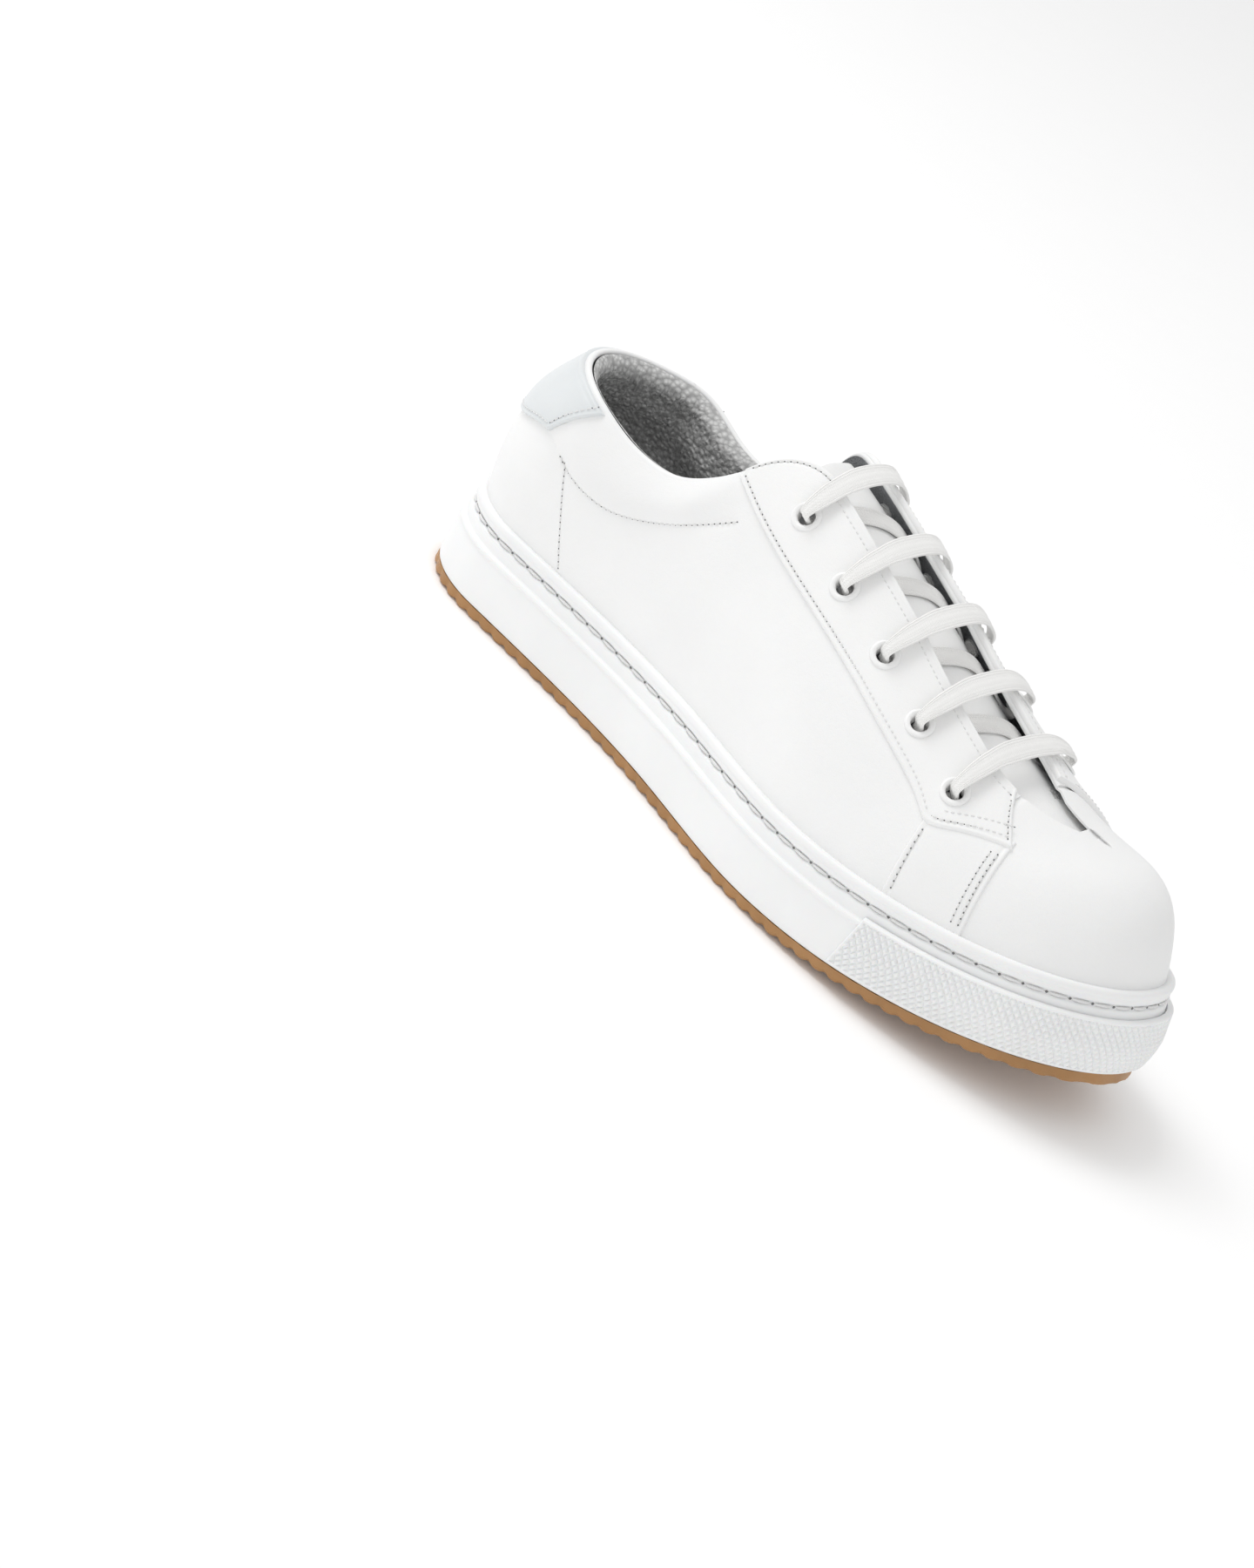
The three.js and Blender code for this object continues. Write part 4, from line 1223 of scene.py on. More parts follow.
def roll_over(a: Array, side: Array, low: Array, rows: int) -> Array:
    """The leather's face from its lasted edge up, over the free edge and a little way down inside.

    The face follows the last plus the padding; the edge is a half circle whose diameter
    is the upper's whole thickness there, thick at the padded collar and thin at the facing.

    Args:
        a, side: (n,) stations.
        low: (n,) v where the face starts.
        rows: rows on the outer face.

    Returns:
        (n, rows + 14, 3) grid in metres.
    """
    edge = LAST.edge_v(a, side)
    x = LAST.x_of(a)
    thick = mix(2.4, 1.9, smoothstep(x, 80, 97))
    radius = thick / 2
    tangent = LAST.point(a, side, edge) - LAST.point(a, side, edge - 0.01)
    drop = radius * 0.01 / np.maximum(np.linalg.norm(tangent, axis=-1), 1e-6)
    brow = edge - drop
    t = np.linspace(0, 1, rows)[None]
    v = mix(low[:, None], brow[:, None], t)
    aa, ss = np.broadcast_to(a[:, None], v.shape), np.broadcast_to(side[:, None], v.shape)
    face = LAST.layer(aa, ss, v, LAST.padding(aa, ss, v))
    up = LAST.layer(a, side, brow, 0 * a) - LAST.layer(a, side, brow - 0.004, 0 * a)
    up = (up / np.linalg.norm(up, axis=-1, keepdims=True))[:, None]
    turn = np.linspace(0, np.pi, 11)[1:][None]
    swell = LAST.padding(a, side, brow)[:, None] * (1 + np.cos(turn)) / 2
    depth = -radius[:, None] * (1 - np.cos(turn)) + swell
    a2, s2, v2 = (np.broadcast_to(k[:, None], depth.shape) for k in (a, side, brow))
    roll = LAST.layer(a2, s2, v2, depth) + up * (radius[:, None] * np.sin(turn))[..., None] / 1000
    inner_v = brow[:, None] - drop[:, None] * np.array([0.5, 1.0, 1.6])[None]
    a3, s3 = np.broadcast_to(a[:, None], inner_v.shape), np.broadcast_to(side[:, None], inner_v.shape)
    inside = LAST.layer(a3, s3, inner_v, -np.broadcast_to(thick[:, None], inner_v.shape))
    return np.concatenate([face, roll, inside], 1)


@dataclass
class Upper:
    """Leather upper: vamp, quarters and heel panel with the pieces sewn over them."""

    quarter_front: float = 236.0
    overlay: float = 1.6
    lift: float = 0.05
    seam_pitch: float = 2.0
    wall_rows: int = 110
    heel_overlap: float = 1.2
    heel_sink: float = 0.25
    wing_thick: float = 0.75
    tab_thick: float = 1.25
    tab_ends: tuple[float, float] = (28.0, 42.0)
    rows: list[StitchRow] = field(default_factory=list)

    def heel_seam_x(self, t: Values) -> Array:
        """X of the seam between heel panel and quarter, leaning forward towards the sole."""
        return mix(68.0, 24.0, t)

    def leather(
        self, name: str, grid: Array, clothes: Wardrobe, node: str, keep: Optional[Array] = None
    ) -> Piece:
        """A leather piece whose inner face lies CORE millimetres under its grid.

        Args:
            name: the piece's name.
            grid: (n, m, 3) outer face.
            clothes: the finishes.
            node: CAD node that it stands for.
            keep: mask of quads, or None.

        Returns:
            The object.
        """
        normal = surface_normals(grid)
        middle = normal[grid.shape[0] // 2, grid.shape[1] // 3]
        centre = grid.reshape(-1, 3).mean(0)
        outward = grid[grid.shape[0] // 2, grid.shape[1] // 3] - np.array([centre[0], 0.004, 0.03])
        sign = 1.0 if middle @ outward > 0 else -1.0
        vertices, faces = shell(grid, grid - normal * sign * CORE / 1000, keep)
        obj = piece(name, vertices, faces, clothes.leather, smooth_angle=50)
        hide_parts(node)
        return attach(obj, "shoe")

    def base_pieces(self, clothes: Wardrobe) -> None:
        """Quarters, heel panel and vamp, all on the last itself."""
        share = np.linspace(0, 1, fine(240))
        for side in Side:
            grid = self.quarter_grid(share, side.value)
            name = f"quarter_{side.label}"
            self.leather(name + "_leather", grid, clothes, name, open_holes(side, grid))
        grid = self.heel_grid(np.linspace(0, 1, fine(150) * 2 + 1))
        self.leather("heel_leather", grid, clothes, "heel_panel")
        self.vamp(clothes)

    def leaning_face(self, a: Values, side: Values, sink: float, top: Array, t: Array) -> Array:
        """A wall whose columns lean, eased into the rolled edge over its last tenth.

        Args:
            a, side: (n, rows) last parameters of the leaning columns.
            sink: how far the face lies under its neighbour.
            top: the roll_over grid of the same columns taken upright.
            t: (1, rows) shares up the wall.

        Returns:
            (n, rows + 13, 3) grid in metres.
        """
        rows = t.shape[1]
        v = mix(base_v(a, side), LAST.edge_v(a, side), t)
        face = LAST.layer(a, side, v, LAST.padding(a, side, v) - sink)
        ease = smoothstep(t, 0.9, 1.0)[..., None]
        return np.concatenate([mix(face, top[:, :rows], ease), top[:, rows:]], 1)

    def quarter_grid(self, share: Array, side: float) -> Array:
        """A quarter's face, from the leaning heel seam to its upright front edge."""
        t = np.linspace(0, 1, fine(self.wall_rows))[None]
        a_top = LAST.a_of(mix(self.heel_seam_x(1.0), self.quarter_front, share))
        s = np.full(share.shape, side)
        top = roll_over(a_top, s, base_v(a_top, s), t.shape[1])
        a = LAST.a_of(mix(self.heel_seam_x(t), self.quarter_front, share[:, None]))
        return self.leaning_face(a, np.full(a.shape, side), 0.0, top, t)

    def heel_grid(self, u: Array) -> Array:
        """The heel panel's face between its two leaning seams, just under the quarters."""
        t = np.linspace(0, 1, fine(self.wall_rows))[None]
        a_top, s = round_heel(self.heel_seam_x(1.0) + self.heel_overlap, u)
        top = roll_over(a_top, s, base_v(a_top, s), t.shape[1])
        across = np.broadcast_to(u[:, None], (len(u), t.shape[1]))
        a, side = round_heel(self.heel_seam_x(t) + self.heel_overlap, across)
        return self.leaning_face(a, side, self.heel_sink, top, t)

    def vamp(self, clothes: Wardrobe) -> Piece:
        """The plain vamp, from quarter to quarter round the toe, closed over the toe's crown."""
        u, t = unit_grid(fine(360) + 1, fine(130))
        a, side = round_toe(self.quarter_front - 6.0, u)
        v = mix(base_v(a, side), LAST.closed_edge_v(a, side), t)
        under = 0.8 * smoothstep(-LAST.x_of(a), -(self.quarter_front + 3.0), -self.quarter_front)
        grid = LAST.layer(a, side, v, -under)
        return self.leather("vamp_leather", grid, clothes, "vamp")

    def overlay_grid(
        self, place: Callable, width: float, height: float, thick: float, radius: float
    ) -> tuple[Array, Array]:
        """A sewn-on piece with rounded raised edges and a stitch groove along them.

        Args:
            place: gives (a, side, v) for (u, t) arrays.
            width, height: its rough size, for the spacing of the rows.
            thick: how far its face stands off the leather below.
            radius: edge rounding.

        Returns:
            Its face and its underside.
        """
        u = edge_rows(width, 1.0, EDGE_STEPS)
        t = edge_rows(height, 0.9, EDGE_STEPS)
        uu, tt = np.meshgrid(u, t, indexing="ij")
        a, s, v = place(uu, tt)
        flat = LAST.layer(a, s, v, np.zeros_like(a))
        edge = np.inf
        for axis in (0, 1):
            steps = np.linalg.norm(np.diff(flat, axis=axis), axis=-1) * 1000
            first = np.zeros_like(steps.take([0], axis))
            run = np.concatenate([first, np.cumsum(steps, axis)], axis)
            edge = np.minimum(edge, np.minimum(run, run.take([-1], axis) - run))
        base = LAST.padding(a, s, v) + self.lift
        face = LAST.layer(a, s, v, base + edge_height(edge, thick, radius, STITCH_INSET))
        return face, LAST.layer(a, s, v, base - 0.15)

    def eyestay(self, side: Side, clothes: Wardrobe) -> Piece:
        """The long eyelet facing, from the collar to the wing."""

        def place(u: Array, t: Array) -> tuple[Array, ...]:
            """Parameters between the stay's outer line and the throat edge."""
            a = LAST.a_of(mix(LAST.FACING_FROM + 0.6, mix(250.5, 234.0, t), u))
            s = np.full(a.shape, side.value)
            low = LAST.v_height(a, s, LAST.stay_line(LAST.x_of(a)))
            return a, s, mix(low, LAST.edge_v(a, s) - 0.006, t)

        face, under = self.overlay_grid(place, 165.0, 26.0, self.overlay, 1.0)
        vertices, faces = shell(face, under, open_holes(side, face))
        obj = piece(f"eyestay_{side.label}_leather", vertices, faces, clothes.leather, smooth_angle=50)
        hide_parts(f"eyestay_{side.label}")
        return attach(obj, "shoe")

    def wing(self, side: Side, clothes: Wardrobe) -> Piece:
        """The small stiffening wing between the stay and the sole."""

        def place(u: Array, t: Array) -> tuple[Array, ...]:
            """Parameters between the cup's rim and the stay's outer line."""
            a = LAST.a_of(mix(mix(224.0, 220.5, t), mix(252.5, 249.5, t), u))
            s = np.full(a.shape, side.value)
            low = LAST.v_height(a, s, 29.0)
            return a, s, mix(low, LAST.v_height(a, s, LAST.stay_line(LAST.x_of(a)) + 2.0), t)

        face, under = self.overlay_grid(place, 28.0, 30.0, self.wing_thick, 0.5)
        vertices, faces = shell(face, under)
        obj = piece(f"wing_{side.label}_leather", vertices, faces, clothes.leather, smooth_angle=50)
        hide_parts(f"wing_{side.label}")
        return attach(obj, "shoe")

    def tab_low_z(self, x: Values) -> Array:
        """Height of the heel tab's lower edge, rising from the back to its corner."""
        return mix(59.5, 66.3, smoothstep(x, 2, 28))

    def heel_tab(self, clothes: Wardrobe) -> Piece:
        """The grey tab wrapped round the top of the heel."""

        def place(u: Array, t: Array) -> tuple[Array, ...]:
            """Parameters from the tab's lower edge to just over the topline."""
            a, s = round_heel(mix(*self.tab_ends, t), u)
            low = LAST.v_height(a, s, self.tab_low_z(LAST.x_of(a)))
            return a, s, mix(low, LAST.edge_v(a, s) - 0.012, t)

        face, under = self.overlay_grid(place, 120.0, 24.0, self.tab_thick, 0.8)
        vertices, faces = shell(face, under)
        obj = piece("heel_tab_leather", vertices, faces, clothes.grey_leather, smooth_angle=50)
        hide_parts("heel_tab")
        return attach(obj, "shoe")

    def seams(self, side: Side) -> None:
        """Every stitch row on one wall."""
        s = side.value
        on_stay = self.overlay + self.lift - 0.12
        on_wing, on_tab = self.wing_thick + self.lift, self.tab_thick - 0.1
        line = lambda x, drop: LAST.v_height(LAST.a_of(x), s, LAST.stay_line(x) + drop)

        def tab_low(x: Array) -> Array:
            """The v of the tab's lower edge."""
            return LAST.v_height(LAST.a_of(x), s, self.tab_low_z(x))

        def add(x: Array, v: Array, offset: float) -> None:
            """Adds a row through stations x at heights v."""
            a = LAST.a_of(x)
            raised = offset + LAST.padding(a, s * np.ones_like(a), v)
            self.rows.append(surface_row(a, s, v, raised, pitch=self.seam_pitch))

        x = np.linspace(95.5, 220, 160)
        add(x, line(x, 2.0), on_stay)
        for rise in (2.1, 4.6):
            x = np.linspace(221 + rise * 0.6, 248.2 - rise * 0.7, 40)
            add(x, line(x, rise), on_stay)
        x = np.linspace(119, 234.5, 150)
        add(x, LAST.v_below(LAST.a_of(x), s, 4.6), on_stay)
        t = np.linspace(0.12, 0.74, 30)
        x = mix(250.5, 234.0, t) - 1.9
        a = LAST.a_of(x)
        low = LAST.v_height(a, s, LAST.stay_line(x))
        add(x, mix(low, LAST.edge_v(a, s), t), on_stay)
        x = np.linspace(95.5, 119, 40)
        add(x, LAST.v_below(LAST.a_of(x), s, 2.6), on_stay)
        t = np.linspace(0.05, 0.92, 40)
        for foot, top in ((226.0, 222.6), (250.4, 247.4), (247.9, 244.9)):
            x = mix(foot, top, t)
            add(x, LAST.v_height(LAST.a_of(x), s, mix(33.0, LAST.stay_line(x) - 0.4, t)), on_wing)
        x = np.linspace(37.5, 102.5, 90)
        add(x, LAST.v_height(LAST.a_of(x), s, LAST.collar_line(x)), 0.05)
        z = np.linspace(33.5, 62.0, 40)
        x = self.heel_seam_x((z - 15.0) / 69.0) + 2.4
        add(x, LAST.v_height(LAST.a_of(x), s, z), 0.0)
        x = np.linspace(1.0, 26.5, 60)
        add(x, LAST.v_height(LAST.a_of(x), s, self.tab_low_z(x) + 2.0), on_tab)
        t = np.linspace(0.12, 0.9, 30)
        x = mix(*self.tab_ends, t) - 2.0
        add(x, mix(tab_low(x), LAST.edge_v(LAST.a_of(x), s), t), on_tab)

    def build(self, clothes: Wardrobe) -> None:
        """Builds the leather, then sews it."""
        self.base_pieces(clothes)
        for side in Side:
            self.eyestay(side, clothes)
            self.wing(side, clothes)
            self.rows = []
            self.seams(side)
            sew(f"upper_{side.label}_seam", self.rows, clothes)
        self.heel_tab(clothes)


@dataclass
class Lining:
    """Looped grey lining of the collar, quarters and toe."""

    loop_height: float = 0.55
    seed: int = 11

    def fuzz(self, shape: tuple[int, ...], rng: np.random.Generator) -> Array:
        """Loop heights: white noise, a little smoothed along both directions."""
        n = rng.random(shape)
        n = (n + np.roll(n, 1, 0) + np.roll(n, 1, 1)) / 3
        return (n - 0.5) * 2 * self.loop_height

    def collar(self, clothes: Wardrobe, rng: np.random.Generator) -> Piece:
        """The collar's lining: out over the padding, then down inside to the footbed."""
        u, t = unit_grid(fine(460) + 1, fine(104))
        t = t**0.8
        a, side = round_heel(96.0, u)
        x = LAST.x_of(a)
        edge = LAST.edge_v(np.minimum(a, LAST.a_of(92.0)), side)
        v = mix(base_v(a, side), edge - 0.001, t)
        height = LAST.point(a, side, edge)[..., 2] - LAST.point(a, side, v)[..., 2]
        full = mix(8.2, 4.4, smoothstep(x, 50, 90))
        into = np.clip(height / 4.0, 0, 1)
        round_edge = np.sqrt(1 - (1 - into) ** 2)
        thin = smoothstep(height, 13.0, 30.0)
        offset = -mix(1.7, mix(full, 3.4, thin), round_edge)
        offset = offset + self.fuzz(v.shape, rng) * smoothstep(height, 0.0, 1.2)
        grid = LAST.layer(a, side, v, offset)
        back = LAST.layer(a, side, v, offset + 0.7)
        vertices, faces = shell(grid, back)
        obj = piece("collar_terry", vertices, faces, clothes.terry, smooth_angle=70)
        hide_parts("collar_lining", "collar_foam")
        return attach(obj, "shoe")

    def quarter(self, side: Side, clothes: Wardrobe) -> Piece:
        """The lining behind a quarter's facing."""
        u, t = unit_grid(fine(200), fine(90))
        x = mix(94.0, 236.0, u)
        a, s = LAST.a_of(x), np.full(x.shape, side.value)
        v = mix(base_v(a, s), LAST.edge_v(a, s) - 0.012, t)
        face = LAST.layer(a, s, v, np.full(v.shape, -2.0))
        back = LAST.layer(a, s, v, np.full(v.shape, -1.0))
        vertices, faces = shell(face, back, open_holes(side, face))
        obj = piece(f"quarter_{side.label}_cloth", vertices, faces, clothes.facing_cloth, smooth_angle=60)
        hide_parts(f"quarter_lining_{side.label}")
        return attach(obj, "shoe")

    def toe(self, clothes: Wardrobe) -> Piece:
        """The lining of the toe."""
        u, t = unit_grid(fine(160) + 1, fine(60))
        a, side = round_toe(235.0, u)
        v = mix(base_v(a, side), LAST.closed_edge_v(a, side), t)
        inner, outer = (LAST.layer(a, side, v, np.full(v.shape, depth)) for depth in (-4.2, -3.4))
        vertices, faces = shell(inner, outer)
        obj = piece("toe_cloth", vertices, faces, clothes.terry)
        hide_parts("vamp_lining")
        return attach(obj, "shoe")

    def stiffener(self, node: str, place: Callable, reach: float, top: float, clothes: Wardrobe) -> None:
        """A hidden board stiffener between leather and lining.

        Args:
            node: the CAD node that it stands for.
            place: round_heel or round_toe.
            reach: X where it ends.
            top: height of its upper edge, which falls to half towards its ends.
            clothes: the finishes.
        """
        u, t = unit_grid(121, 30)
        a, side = place(reach, u)
        high = mix(30.0, top, np.sin(np.pi * u) ** 0.6)
        v = mix(base_v(a, side), LAST.v_height(a, side, high), t)
        outer, inner = np.full(v.shape, -1.1), np.full(v.shape, -2.3)
        vertices, faces = shell(LAST.layer(a, side, v, outer), LAST.layer(a, side, v, inner))
        obj = piece(node + "_board", vertices, faces, clothes.board)
        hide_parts(node)
        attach(obj, "shoe")

    def build(self, clothes: Wardrobe) -> None:
        """Builds the linings and the stiffeners behind them."""
        rng = np.random.default_rng(self.seed)
        self.stiffener("heel_counter", round_heel, 58.0, 60.0, clothes)
        self.stiffener("toe_puff", round_toe, 264.0, 52.0, clothes)
        self.collar(clothes, rng)
        for side in Side:
            self.quarter(side, clothes)
        self.toe(clothes)


@dataclass
class Tongue:
    """Thin leather tongue with light padding and a grey lining, sewn in at the throat's tip."""

    top: float = 107.0
    base: float = 286.0
    leather: float = 0.9
    padding: float = 2.4
    belly: float = 1.2

    def sheet(self, offset: float, trim: float) -> tuple[Array, ...]:
        """Parameters and offsets of one layer of the tongue.

        Args:
            offset: how far under the tongue's face, in millimetres.
            trim: how much smaller than the leather.

        Returns:
            a, side, v and the offset from the last.
        """
        u, t = unit_grid(fine(150), fine(80) * 2 + 1)
        x = mix(self.top + trim, self.base - trim, u)
        a = LAST.a_of(x)
        side = np.where(t < 0.5, -1.0, 1.0)
        corner = np.clip((x - self.top - trim) / 14, 0, 1)
        rounded = mix(0.72, 1.0, np.sqrt(1 - (1 - corner) ** 2))
        half = mix(28.0, 20.0, smoothstep(x, 110, 250)) * rounded - trim
        outer = LAST.v_half(a, side, half + side * LAST.crown_shift(x) * 0.5)
        v = np.where(t < 0.5, mix(outer, 1.0, 2 * t), mix(1.0, outer, 2 * t - 1))
        sink = mix(-6.2, -3.4, smoothstep(x, 205, 252))
        swell = self.belly * np.sin(np.pi * t) ** 0.6 * np.sin(np.pi * np.clip(u * 1.02, 0, 1)) ** 0.4
        return a, side, v, sink - offset + swell * 0.5

    def layered(
        self, name: str, top: float, thick: float, trim: float, material: Material, node: str
    ) -> Piece:
        """One closed layer of the tongue, with its transform baked into its mesh."""
        a, side, v, face = self.sheet(top, trim)
        vertices, faces = shell(LAST.layer(a, side, v, face), LAST.layer(a, side, v, face - thick))
        obj = piece(name, vertices, faces, material, smooth_angle=60)
        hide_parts(node)
        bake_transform(obj)
        return obj

    def build(self, clothes: Wardrobe) -> None:
        """Builds the tongue's three layers."""
        pad_top, back_top = self.leather + 0.02, self.leather + self.padding + 0.06
        white, soft, grey = clothes.leather, clothes.foam, clothes.terry
        self.layered("tongue_face", 0.0, self.leather, 0.0, white, "tongue_leather")
        pad = self.layered("tongue_pad", pad_top, self.padding, 1.6, soft, "tongue_foam")
        self.layered("tongue_back", back_top, 0.7, 0.5, grey, "tongue_lining")


@dataclass
class Footbed:
    """Black cloth-covered insole that lifts out."""

    inset: float = 12.4

    def build(self, clothes: Wardrobe) -> None:
        """A foam slab and its thin cover, both swept round the outline."""
        sole = CupSole()
        count = fine(160)
        core = ((None, 15.2), (self.inset + 0.6, 15.2), (self.inset, 16.2), (self.inset, 19.3), (None, 19.3))
        cover = (
            (None, 19.4), (self.inset, 19.4), (self.inset - 0.2, 19.9),
            (self.inset + 0.1, 20.5), (self.inset + 1.0, 20.9), (None, 21.0),
        )
        for name, profile, material, node in (
            ("footbed_core", core, clothes.foam, "footbed_foam"),
            ("footbed_top", cover, clothes.black_cloth, "footbed_cover"),
        ):
            rings = sole.rings(profile, count)
            obj = piece(name, rings, grid_faces(*rings.shape[:2], wrap=True), material, smooth_angle=50)
            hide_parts(node)
            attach(obj, "footbed")


# ---------------------------------------------------------------- lacing


@dataclass
class Knot:
    """One point of the lace's route with its half width, half thickness and width direction."""

    point: Array
    half: float
    thick: float
    wide: Array


@dataclass
class Lacing:
    """Flat cotton lace: straight bars outside, slanting runs inside, both ends tucked away."""

    width: float = 7.6
    thickness: float = 1.4
    tail_drop: float = 29.0
    ribs: int = 9
    samples: int = 16
    aglet_length: float = 20.0
    aglet_radius: float = 1.2

    def route(self) -> list[Knot]:
        """The lace's route, knot by knot, from the outer tail to the inner one."""
        knots: list[Knot] = []
        row = np.array([0.93, 0.0, -0.37])
        full, narrow = self.width / 2, 2.0
        near, far = EYELETS[Side.LATERAL], EYELETS[Side.MEDIAL]

        def knot(point: Array, half: float, thick: float = 0.0, wide: Array = row) -> None:
            """Adds one point of the route."""
            knots.append(Knot(point, half, thick or self.thickness / 2, wide))

        def surface(x: float, side: float, half: Optional[float], depth: float) -> Array:
            """A point half millimetres from the middle, or on the crown, at a depth."""
            a, s = LAST.a_of(np.array(x)), np.array(side)
            v = np.array(1.0) if half is None else LAST.v_half(a, s, half)
            return LAST.layer(a, s, v, depth)

        def tail(side: float, stations: Sequence[float]) -> None:
            """A tucked end along the inside of the facing."""
            for x in stations:
                a, s = LAST.a_of(np.array(x)), np.array(side)
                v = LAST.v_below(a, s, self.tail_drop)
                down = LAST.layer(a, s, v - 0.02, 0.0) - LAST.layer(a, s, v, 0.0)
                knot(LAST.layer(a, s, v, -4.8), full * 0.8, 0.0, down / np.linalg.norm(down) * side)

        tail(-1.0, (133, 150, 170, 190, 204))
        for i, x in enumerate(EYELET_X):
            if i:
                before = EYELET_X[i - 1]
                middle = (before + x) / 2
                knot(surface(mix(before, x, 0.25), 1.0, 13.0, -4.6), full * 0.85)
                knot((surface(middle, 1.0, None, -4.6) + surface(middle, -1.0, None, -4.6)) / 2, full * 0.85)
                knot(surface(mix(before, x, 0.75), -1.0, 13.0, -4.6), full * 0.85)
            knot(near[i].at(-4.0), narrow, 0.8)
            knot(near[i].at(0.0), narrow, 0.9)
            knot(near[i].at(4.7), narrow, 0.8)
            knot(surface(x, -1.0, 18.0, 4.6), full * 0.85)
            knot(surface(x, -1.0, 8.0, 3.6), full)
            knot(surface(x, 1.0, 9.0, 3.6), full)
            knot(surface(x, 1.0, 18.0, 4.6), full * 0.85)
            knot(far[i].at(4.7), narrow, 0.8)
            knot(far[i].at(0.0), narrow, 0.9)
            knot(far[i].at(-4.0), narrow, 0.8)
        tail(1.0, (138, 150, 164, 178))
        return knots

    def centreline(self, points: Array) -> Array:
        """Centripetal Catmull-Rom curve through the points, samples to each span.

        Each span is the cubic whose end slopes come from neighbours weighted by the
        square roots of their distances.

        Args:
            points: (n, 3).

        Returns:
            ((n - 1) samples + 1, 3).
        """
        padded = np.concatenate([[2 * points[0] - points[1]], points, [2 * points[-1] - points[-2]]])
        gap = np.sqrt(np.linalg.norm(np.diff(padded, axis=0), axis=-1))[:, None]
        p0, p1, p2, p3 = padded[:-3], padded[1:-2], padded[2:-1], padded[3:]
        d0, d1, d2 = gap[:-2], gap[1:-1], gap[2:]
        m1 = ((p1 - p0) / d0 - (p2 - p0) / (d0 + d1) + (p2 - p1) / d1) * d1
        m2 = ((p2 - p1) / d1 - (p3 - p1) / (d1 + d2) + (p3 - p2) / d2) * d1
        t = np.linspace(0, 1, self.samples, endpoint=False)[None, :, None]
        t2, t3 = t * t, t * t * t
        span = lambda k: k[:, None]
        curve = (
            (2 * t3 - 3 * t2 + 1) * span(p1)
            + (t3 - 2 * t2 + t) * span(m1)
            + (3 * t2 - 2 * t3) * span(p2)
            + (t3 - t2) * span(m2)
        )
        return np.concatenate([curve.reshape(-1, 3), points[-1:]])

    def spread(self, values: Array) -> Array:
        """Knot values eased along the samples of each span."""
        t = smoothstep(np.linspace(0, 1, self.samples, endpoint=False), 0, 1)
        t = t.reshape((1, -1) + (1,) * (values.ndim - 1))
        first, second = values[:-1][:, None], values[1:][:, None]
        eased = mix(first, second, t)
        return np.concatenate([eased.reshape((-1,) + values.shape[1:]), values[-1:]])

    def build(self, clothes: Wardrobe) -> Piece:
        """The lace and its two tips."""
        knots = self.route()
        path = self.centreline(np.array([k.point for k in knots]))
        half = self.spread(np.array([k.half for k in knots]))[:, None]
        thick = self.spread(np.array([k.thick for k in knots]))[:, None]
        wide = self.spread(np.array([k.wide for k in knots]))

        def section(share: Array, angle: Array) -> Array:
            """A flat superellipse with lengthwise ribs on both faces, deeper where it bunches."""
            c, s = np.cos(angle), np.sin(angle)
            w = np.sign(c) * np.abs(c) ** 0.75
            bulk = thick * (0.72 - 0.06 * (half > 3)) * np.sign(s) * np.abs(s) ** 0.55
            rib = 0.13 * np.cos(np.pi * self.ribs * w) * np.sign(s) * np.minimum(np.abs(s) * 3, 1)
            return np.stack([half * w, bulk + rib + 0 * share], -1) / 1000

        vertices, faces, uv = tube(path, wide, section, 64)
        lace = piece("lace_tape", vertices, faces, clothes.cotton, uv=uv, weld=False, smooth_angle=80)
        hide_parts("lace")
        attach(lace, "shoe")
        tips = [
            self.tip("aglet_lateral", path[0], path[self.samples], clothes),
            self.tip("aglet_medial", path[-1], path[-1 - self.samples], clothes),
        ]
        return lace

    def tip(self, node: str, end: Array, before: Array, clothes: Wardrobe) -> Piece:
        """A film-wrapped tip beyond one end of the lace, slightly crimped."""
        along = end - before
        along /= np.linalg.norm(along)
        length = self.aglet_length
        s = np.array([0.5, 0.8, 3, 6, 10, 14, 18, length - 0.4, length]) / 1000
        path = end + along * s[:, None]
        wide = np.cross(along, (0, 0, 1.0))
        radius = np.array([0.9, 1, 1, 0.97, 1, 0.97, 1, 0.95, 0.7])[:, None] * self.aglet_radius / 1000
        ring = lambda share, angle: np.stack([radius * np.cos(angle), radius * np.sin(angle)], -1)
        vertices, faces, _ = tube(path, np.repeat(wide[None], len(s), 0), ring, 16)
        obj = piece(node + "_tip", vertices, faces, clothes.film)
        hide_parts(node)
        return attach(obj, "shoe")


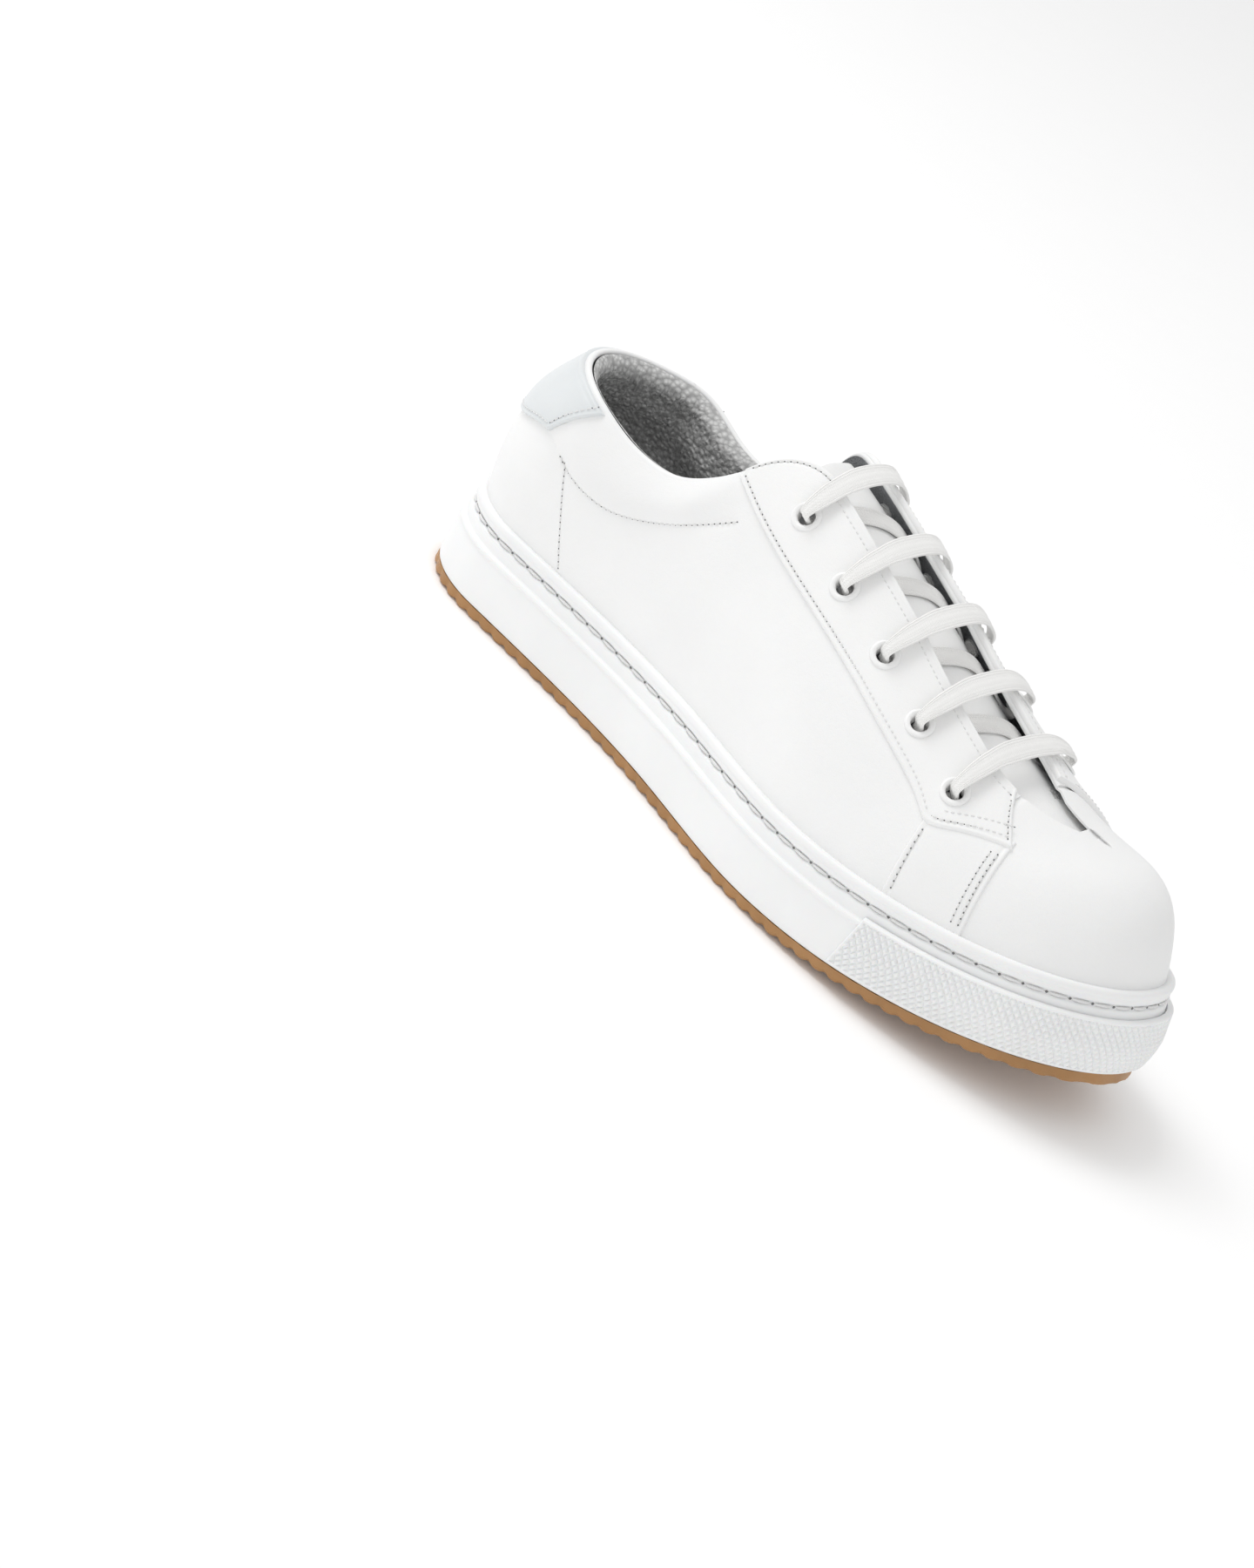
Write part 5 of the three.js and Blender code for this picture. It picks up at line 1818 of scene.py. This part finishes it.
@dataclass
class Eyelets:
    """Ten painted metal eyelets, each a rolled flange and a barrel."""

    hole: float = 2.8
    flange: float = 4.9

    def ring(self, place: EyeletPlace, name: str, clothes: Wardrobe) -> Piece:
        """One eyelet, its profile turned about the eyelet's axis."""
        h, f = self.hole, self.flange
        profile = np.array(
            [
                [h, -2.6], [h + 0.35, -2.6], [h + 0.4, 1.2], [f - 0.5, 1.25], [f - 0.1, 1.35], [f, 1.65],
                [f - 0.12, 2.0], [f - 0.5, 2.25], [f - 1.0, 2.3], [h + 0.5, 2.1],
                [h + 0.15, 1.75], [h, 1.2], [h, -2.6],
            ]
        )
        angle = np.linspace(0, 2 * np.pi, 48, endpoint=False)
        side = np.cross(place.normal, (1.0, 0, 0))
        side /= np.linalg.norm(side)
        other = np.cross(place.normal, side)
        spoke = np.cos(angle)[:, None] * side + np.sin(angle)[:, None] * other
        out, up = profile[:, None, :1], profile[:, None, 1:]
        rings = place.centre + (out * spoke[None] + up * place.normal) / 1000
        faces = grid_faces(len(profile), 48, wrap=True)
        obj = piece(name + "_ring", rings, faces, clothes.paint, smooth_angle=50)
        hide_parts(name)
        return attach(obj, "shoe")

    def build(self, clothes: Wardrobe) -> None:
        """Sets the eyelets in both facings."""
        for side in Side:
            for number, place in enumerate(EYELETS[side], 1):
                self.ring(place, f"eyelet_{side.label}_{number}", clothes)


# ---------------------------------------------------------------- studio


@dataclass
class Studio:
    """Camera, white sweep and soft lights."""

    azimuth: float = 28.512
    elevation: float = 24.014
    roll: float = 31.674
    place: tuple[float, float, float] = (0.5296, -1.0635, 0.5168)
    lens: float = 93.24
    aim: tuple[float, float, float] = (0.0, 0.0, 0.05)

    def camera(self) -> None:
        """A long-lens camera, turned about its own axis so the shoe points down to the right."""
        data = bpy.data.cameras.new("camera")
        data.lens, data.sensor_width, data.sensor_fit = self.lens, 36.0, "AUTO"
        data.clip_start = 0.05
        camera = bpy.data.objects.new("camera", data)
        a, e, r = (math.radians(k) for k in (self.azimuth, self.elevation, self.roll))
        back = np.array([math.sin(a) * math.cos(e), -math.cos(a) * math.cos(e), math.sin(e)])
        right = np.array([math.cos(a), math.sin(a), 0.0])
        up = np.cross(back, right)
        x_axis = math.cos(r) * right + math.sin(r) * up
        y_axis = -math.sin(r) * right + math.cos(r) * up
        turn = Matrix(np.stack([x_axis, y_axis, back], 1).tolist()).to_4x4()
        camera.matrix_world = Matrix.Translation(self.place) @ turn
        bpy.context.scene.collection.objects.link(camera)
        bpy.context.scene.camera = camera

    def light(self, name: str, at: Sequence[float], size: float, power: float) -> None:
        """A square soft box aimed at the shoe."""
        data = bpy.data.lights.new(name, "AREA")
        data.size, data.energy = size, power
        lamp = bpy.data.objects.new(name, data)
        back = np.array(at, float) - np.array(self.aim)
        back /= np.linalg.norm(back)
        side = np.cross((0, 0, 1.0), back)
        side /= np.linalg.norm(side)
        turn = Matrix(np.stack([side, np.cross(back, side), back], 1).tolist()).to_4x4()
        lamp.matrix_world = Matrix.Translation(at) @ turn
        bpy.context.scene.collection.objects.link(lamp)

    def build(self, clothes: Wardrobe) -> None:
        """Sets the stage."""
        self.camera()
        corner = np.array([[-40, -40, 0], [40, -40, 0], [40, 40, 0], [-40, 40, 0]], float)
        floor = piece("sweep", corner, np.array([[0, 1, 2, 3]]), clothes.floor, weld=False, flip_check=False)
        world = bpy.data.worlds.new("white_room")
        bpy.context.scene.world = world
        world.use_nodes = True
        world.node_tree.nodes["Background"].inputs["Color"].default_value = (1.0, 1.0, 1.0, 1.0)
        world.node_tree.nodes["Background"].inputs["Strength"].default_value = 0.72
        self.light("key_box", (-1.0, -0.35, 1.5), 0.9, 12.5)
        self.light("fill_box", (1.3, -1.4, 0.9), 1.4, 3.0)
        view = bpy.context.scene.view_settings
        view.view_transform = "Standard"
        view.exposure = 0.0


def dress_hidden(clothes: Wardrobe) -> None:
    """Gives the CAD nodes that keep their own shape their finishes."""
    for node, material in (
        ("midsole_foam", clothes.foam),
        ("lasting_board", clothes.board),
    ):
        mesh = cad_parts[node].data
        mesh.materials.clear()
        mesh.materials.append(material)
        LOG.info("%s keeps its CAD shape", node)


def main() -> None:
    """Builds the shoe in order."""
    logging.basicConfig(level=logging.INFO, format="%(name)s %(message)s")
    clothes = Wardrobe()
    Studio().build(clothes)
    Lacing().build(clothes)
    CupSole().build(clothes)
    GumOutsole().build(clothes)
    Upper().build(clothes)
    Lining().build(clothes)
    Tongue().build(clothes)
    Footbed().build(clothes)
    Eyelets().build(clothes)
    dress_hidden(clothes)


if __name__ == "__main__":
    main()
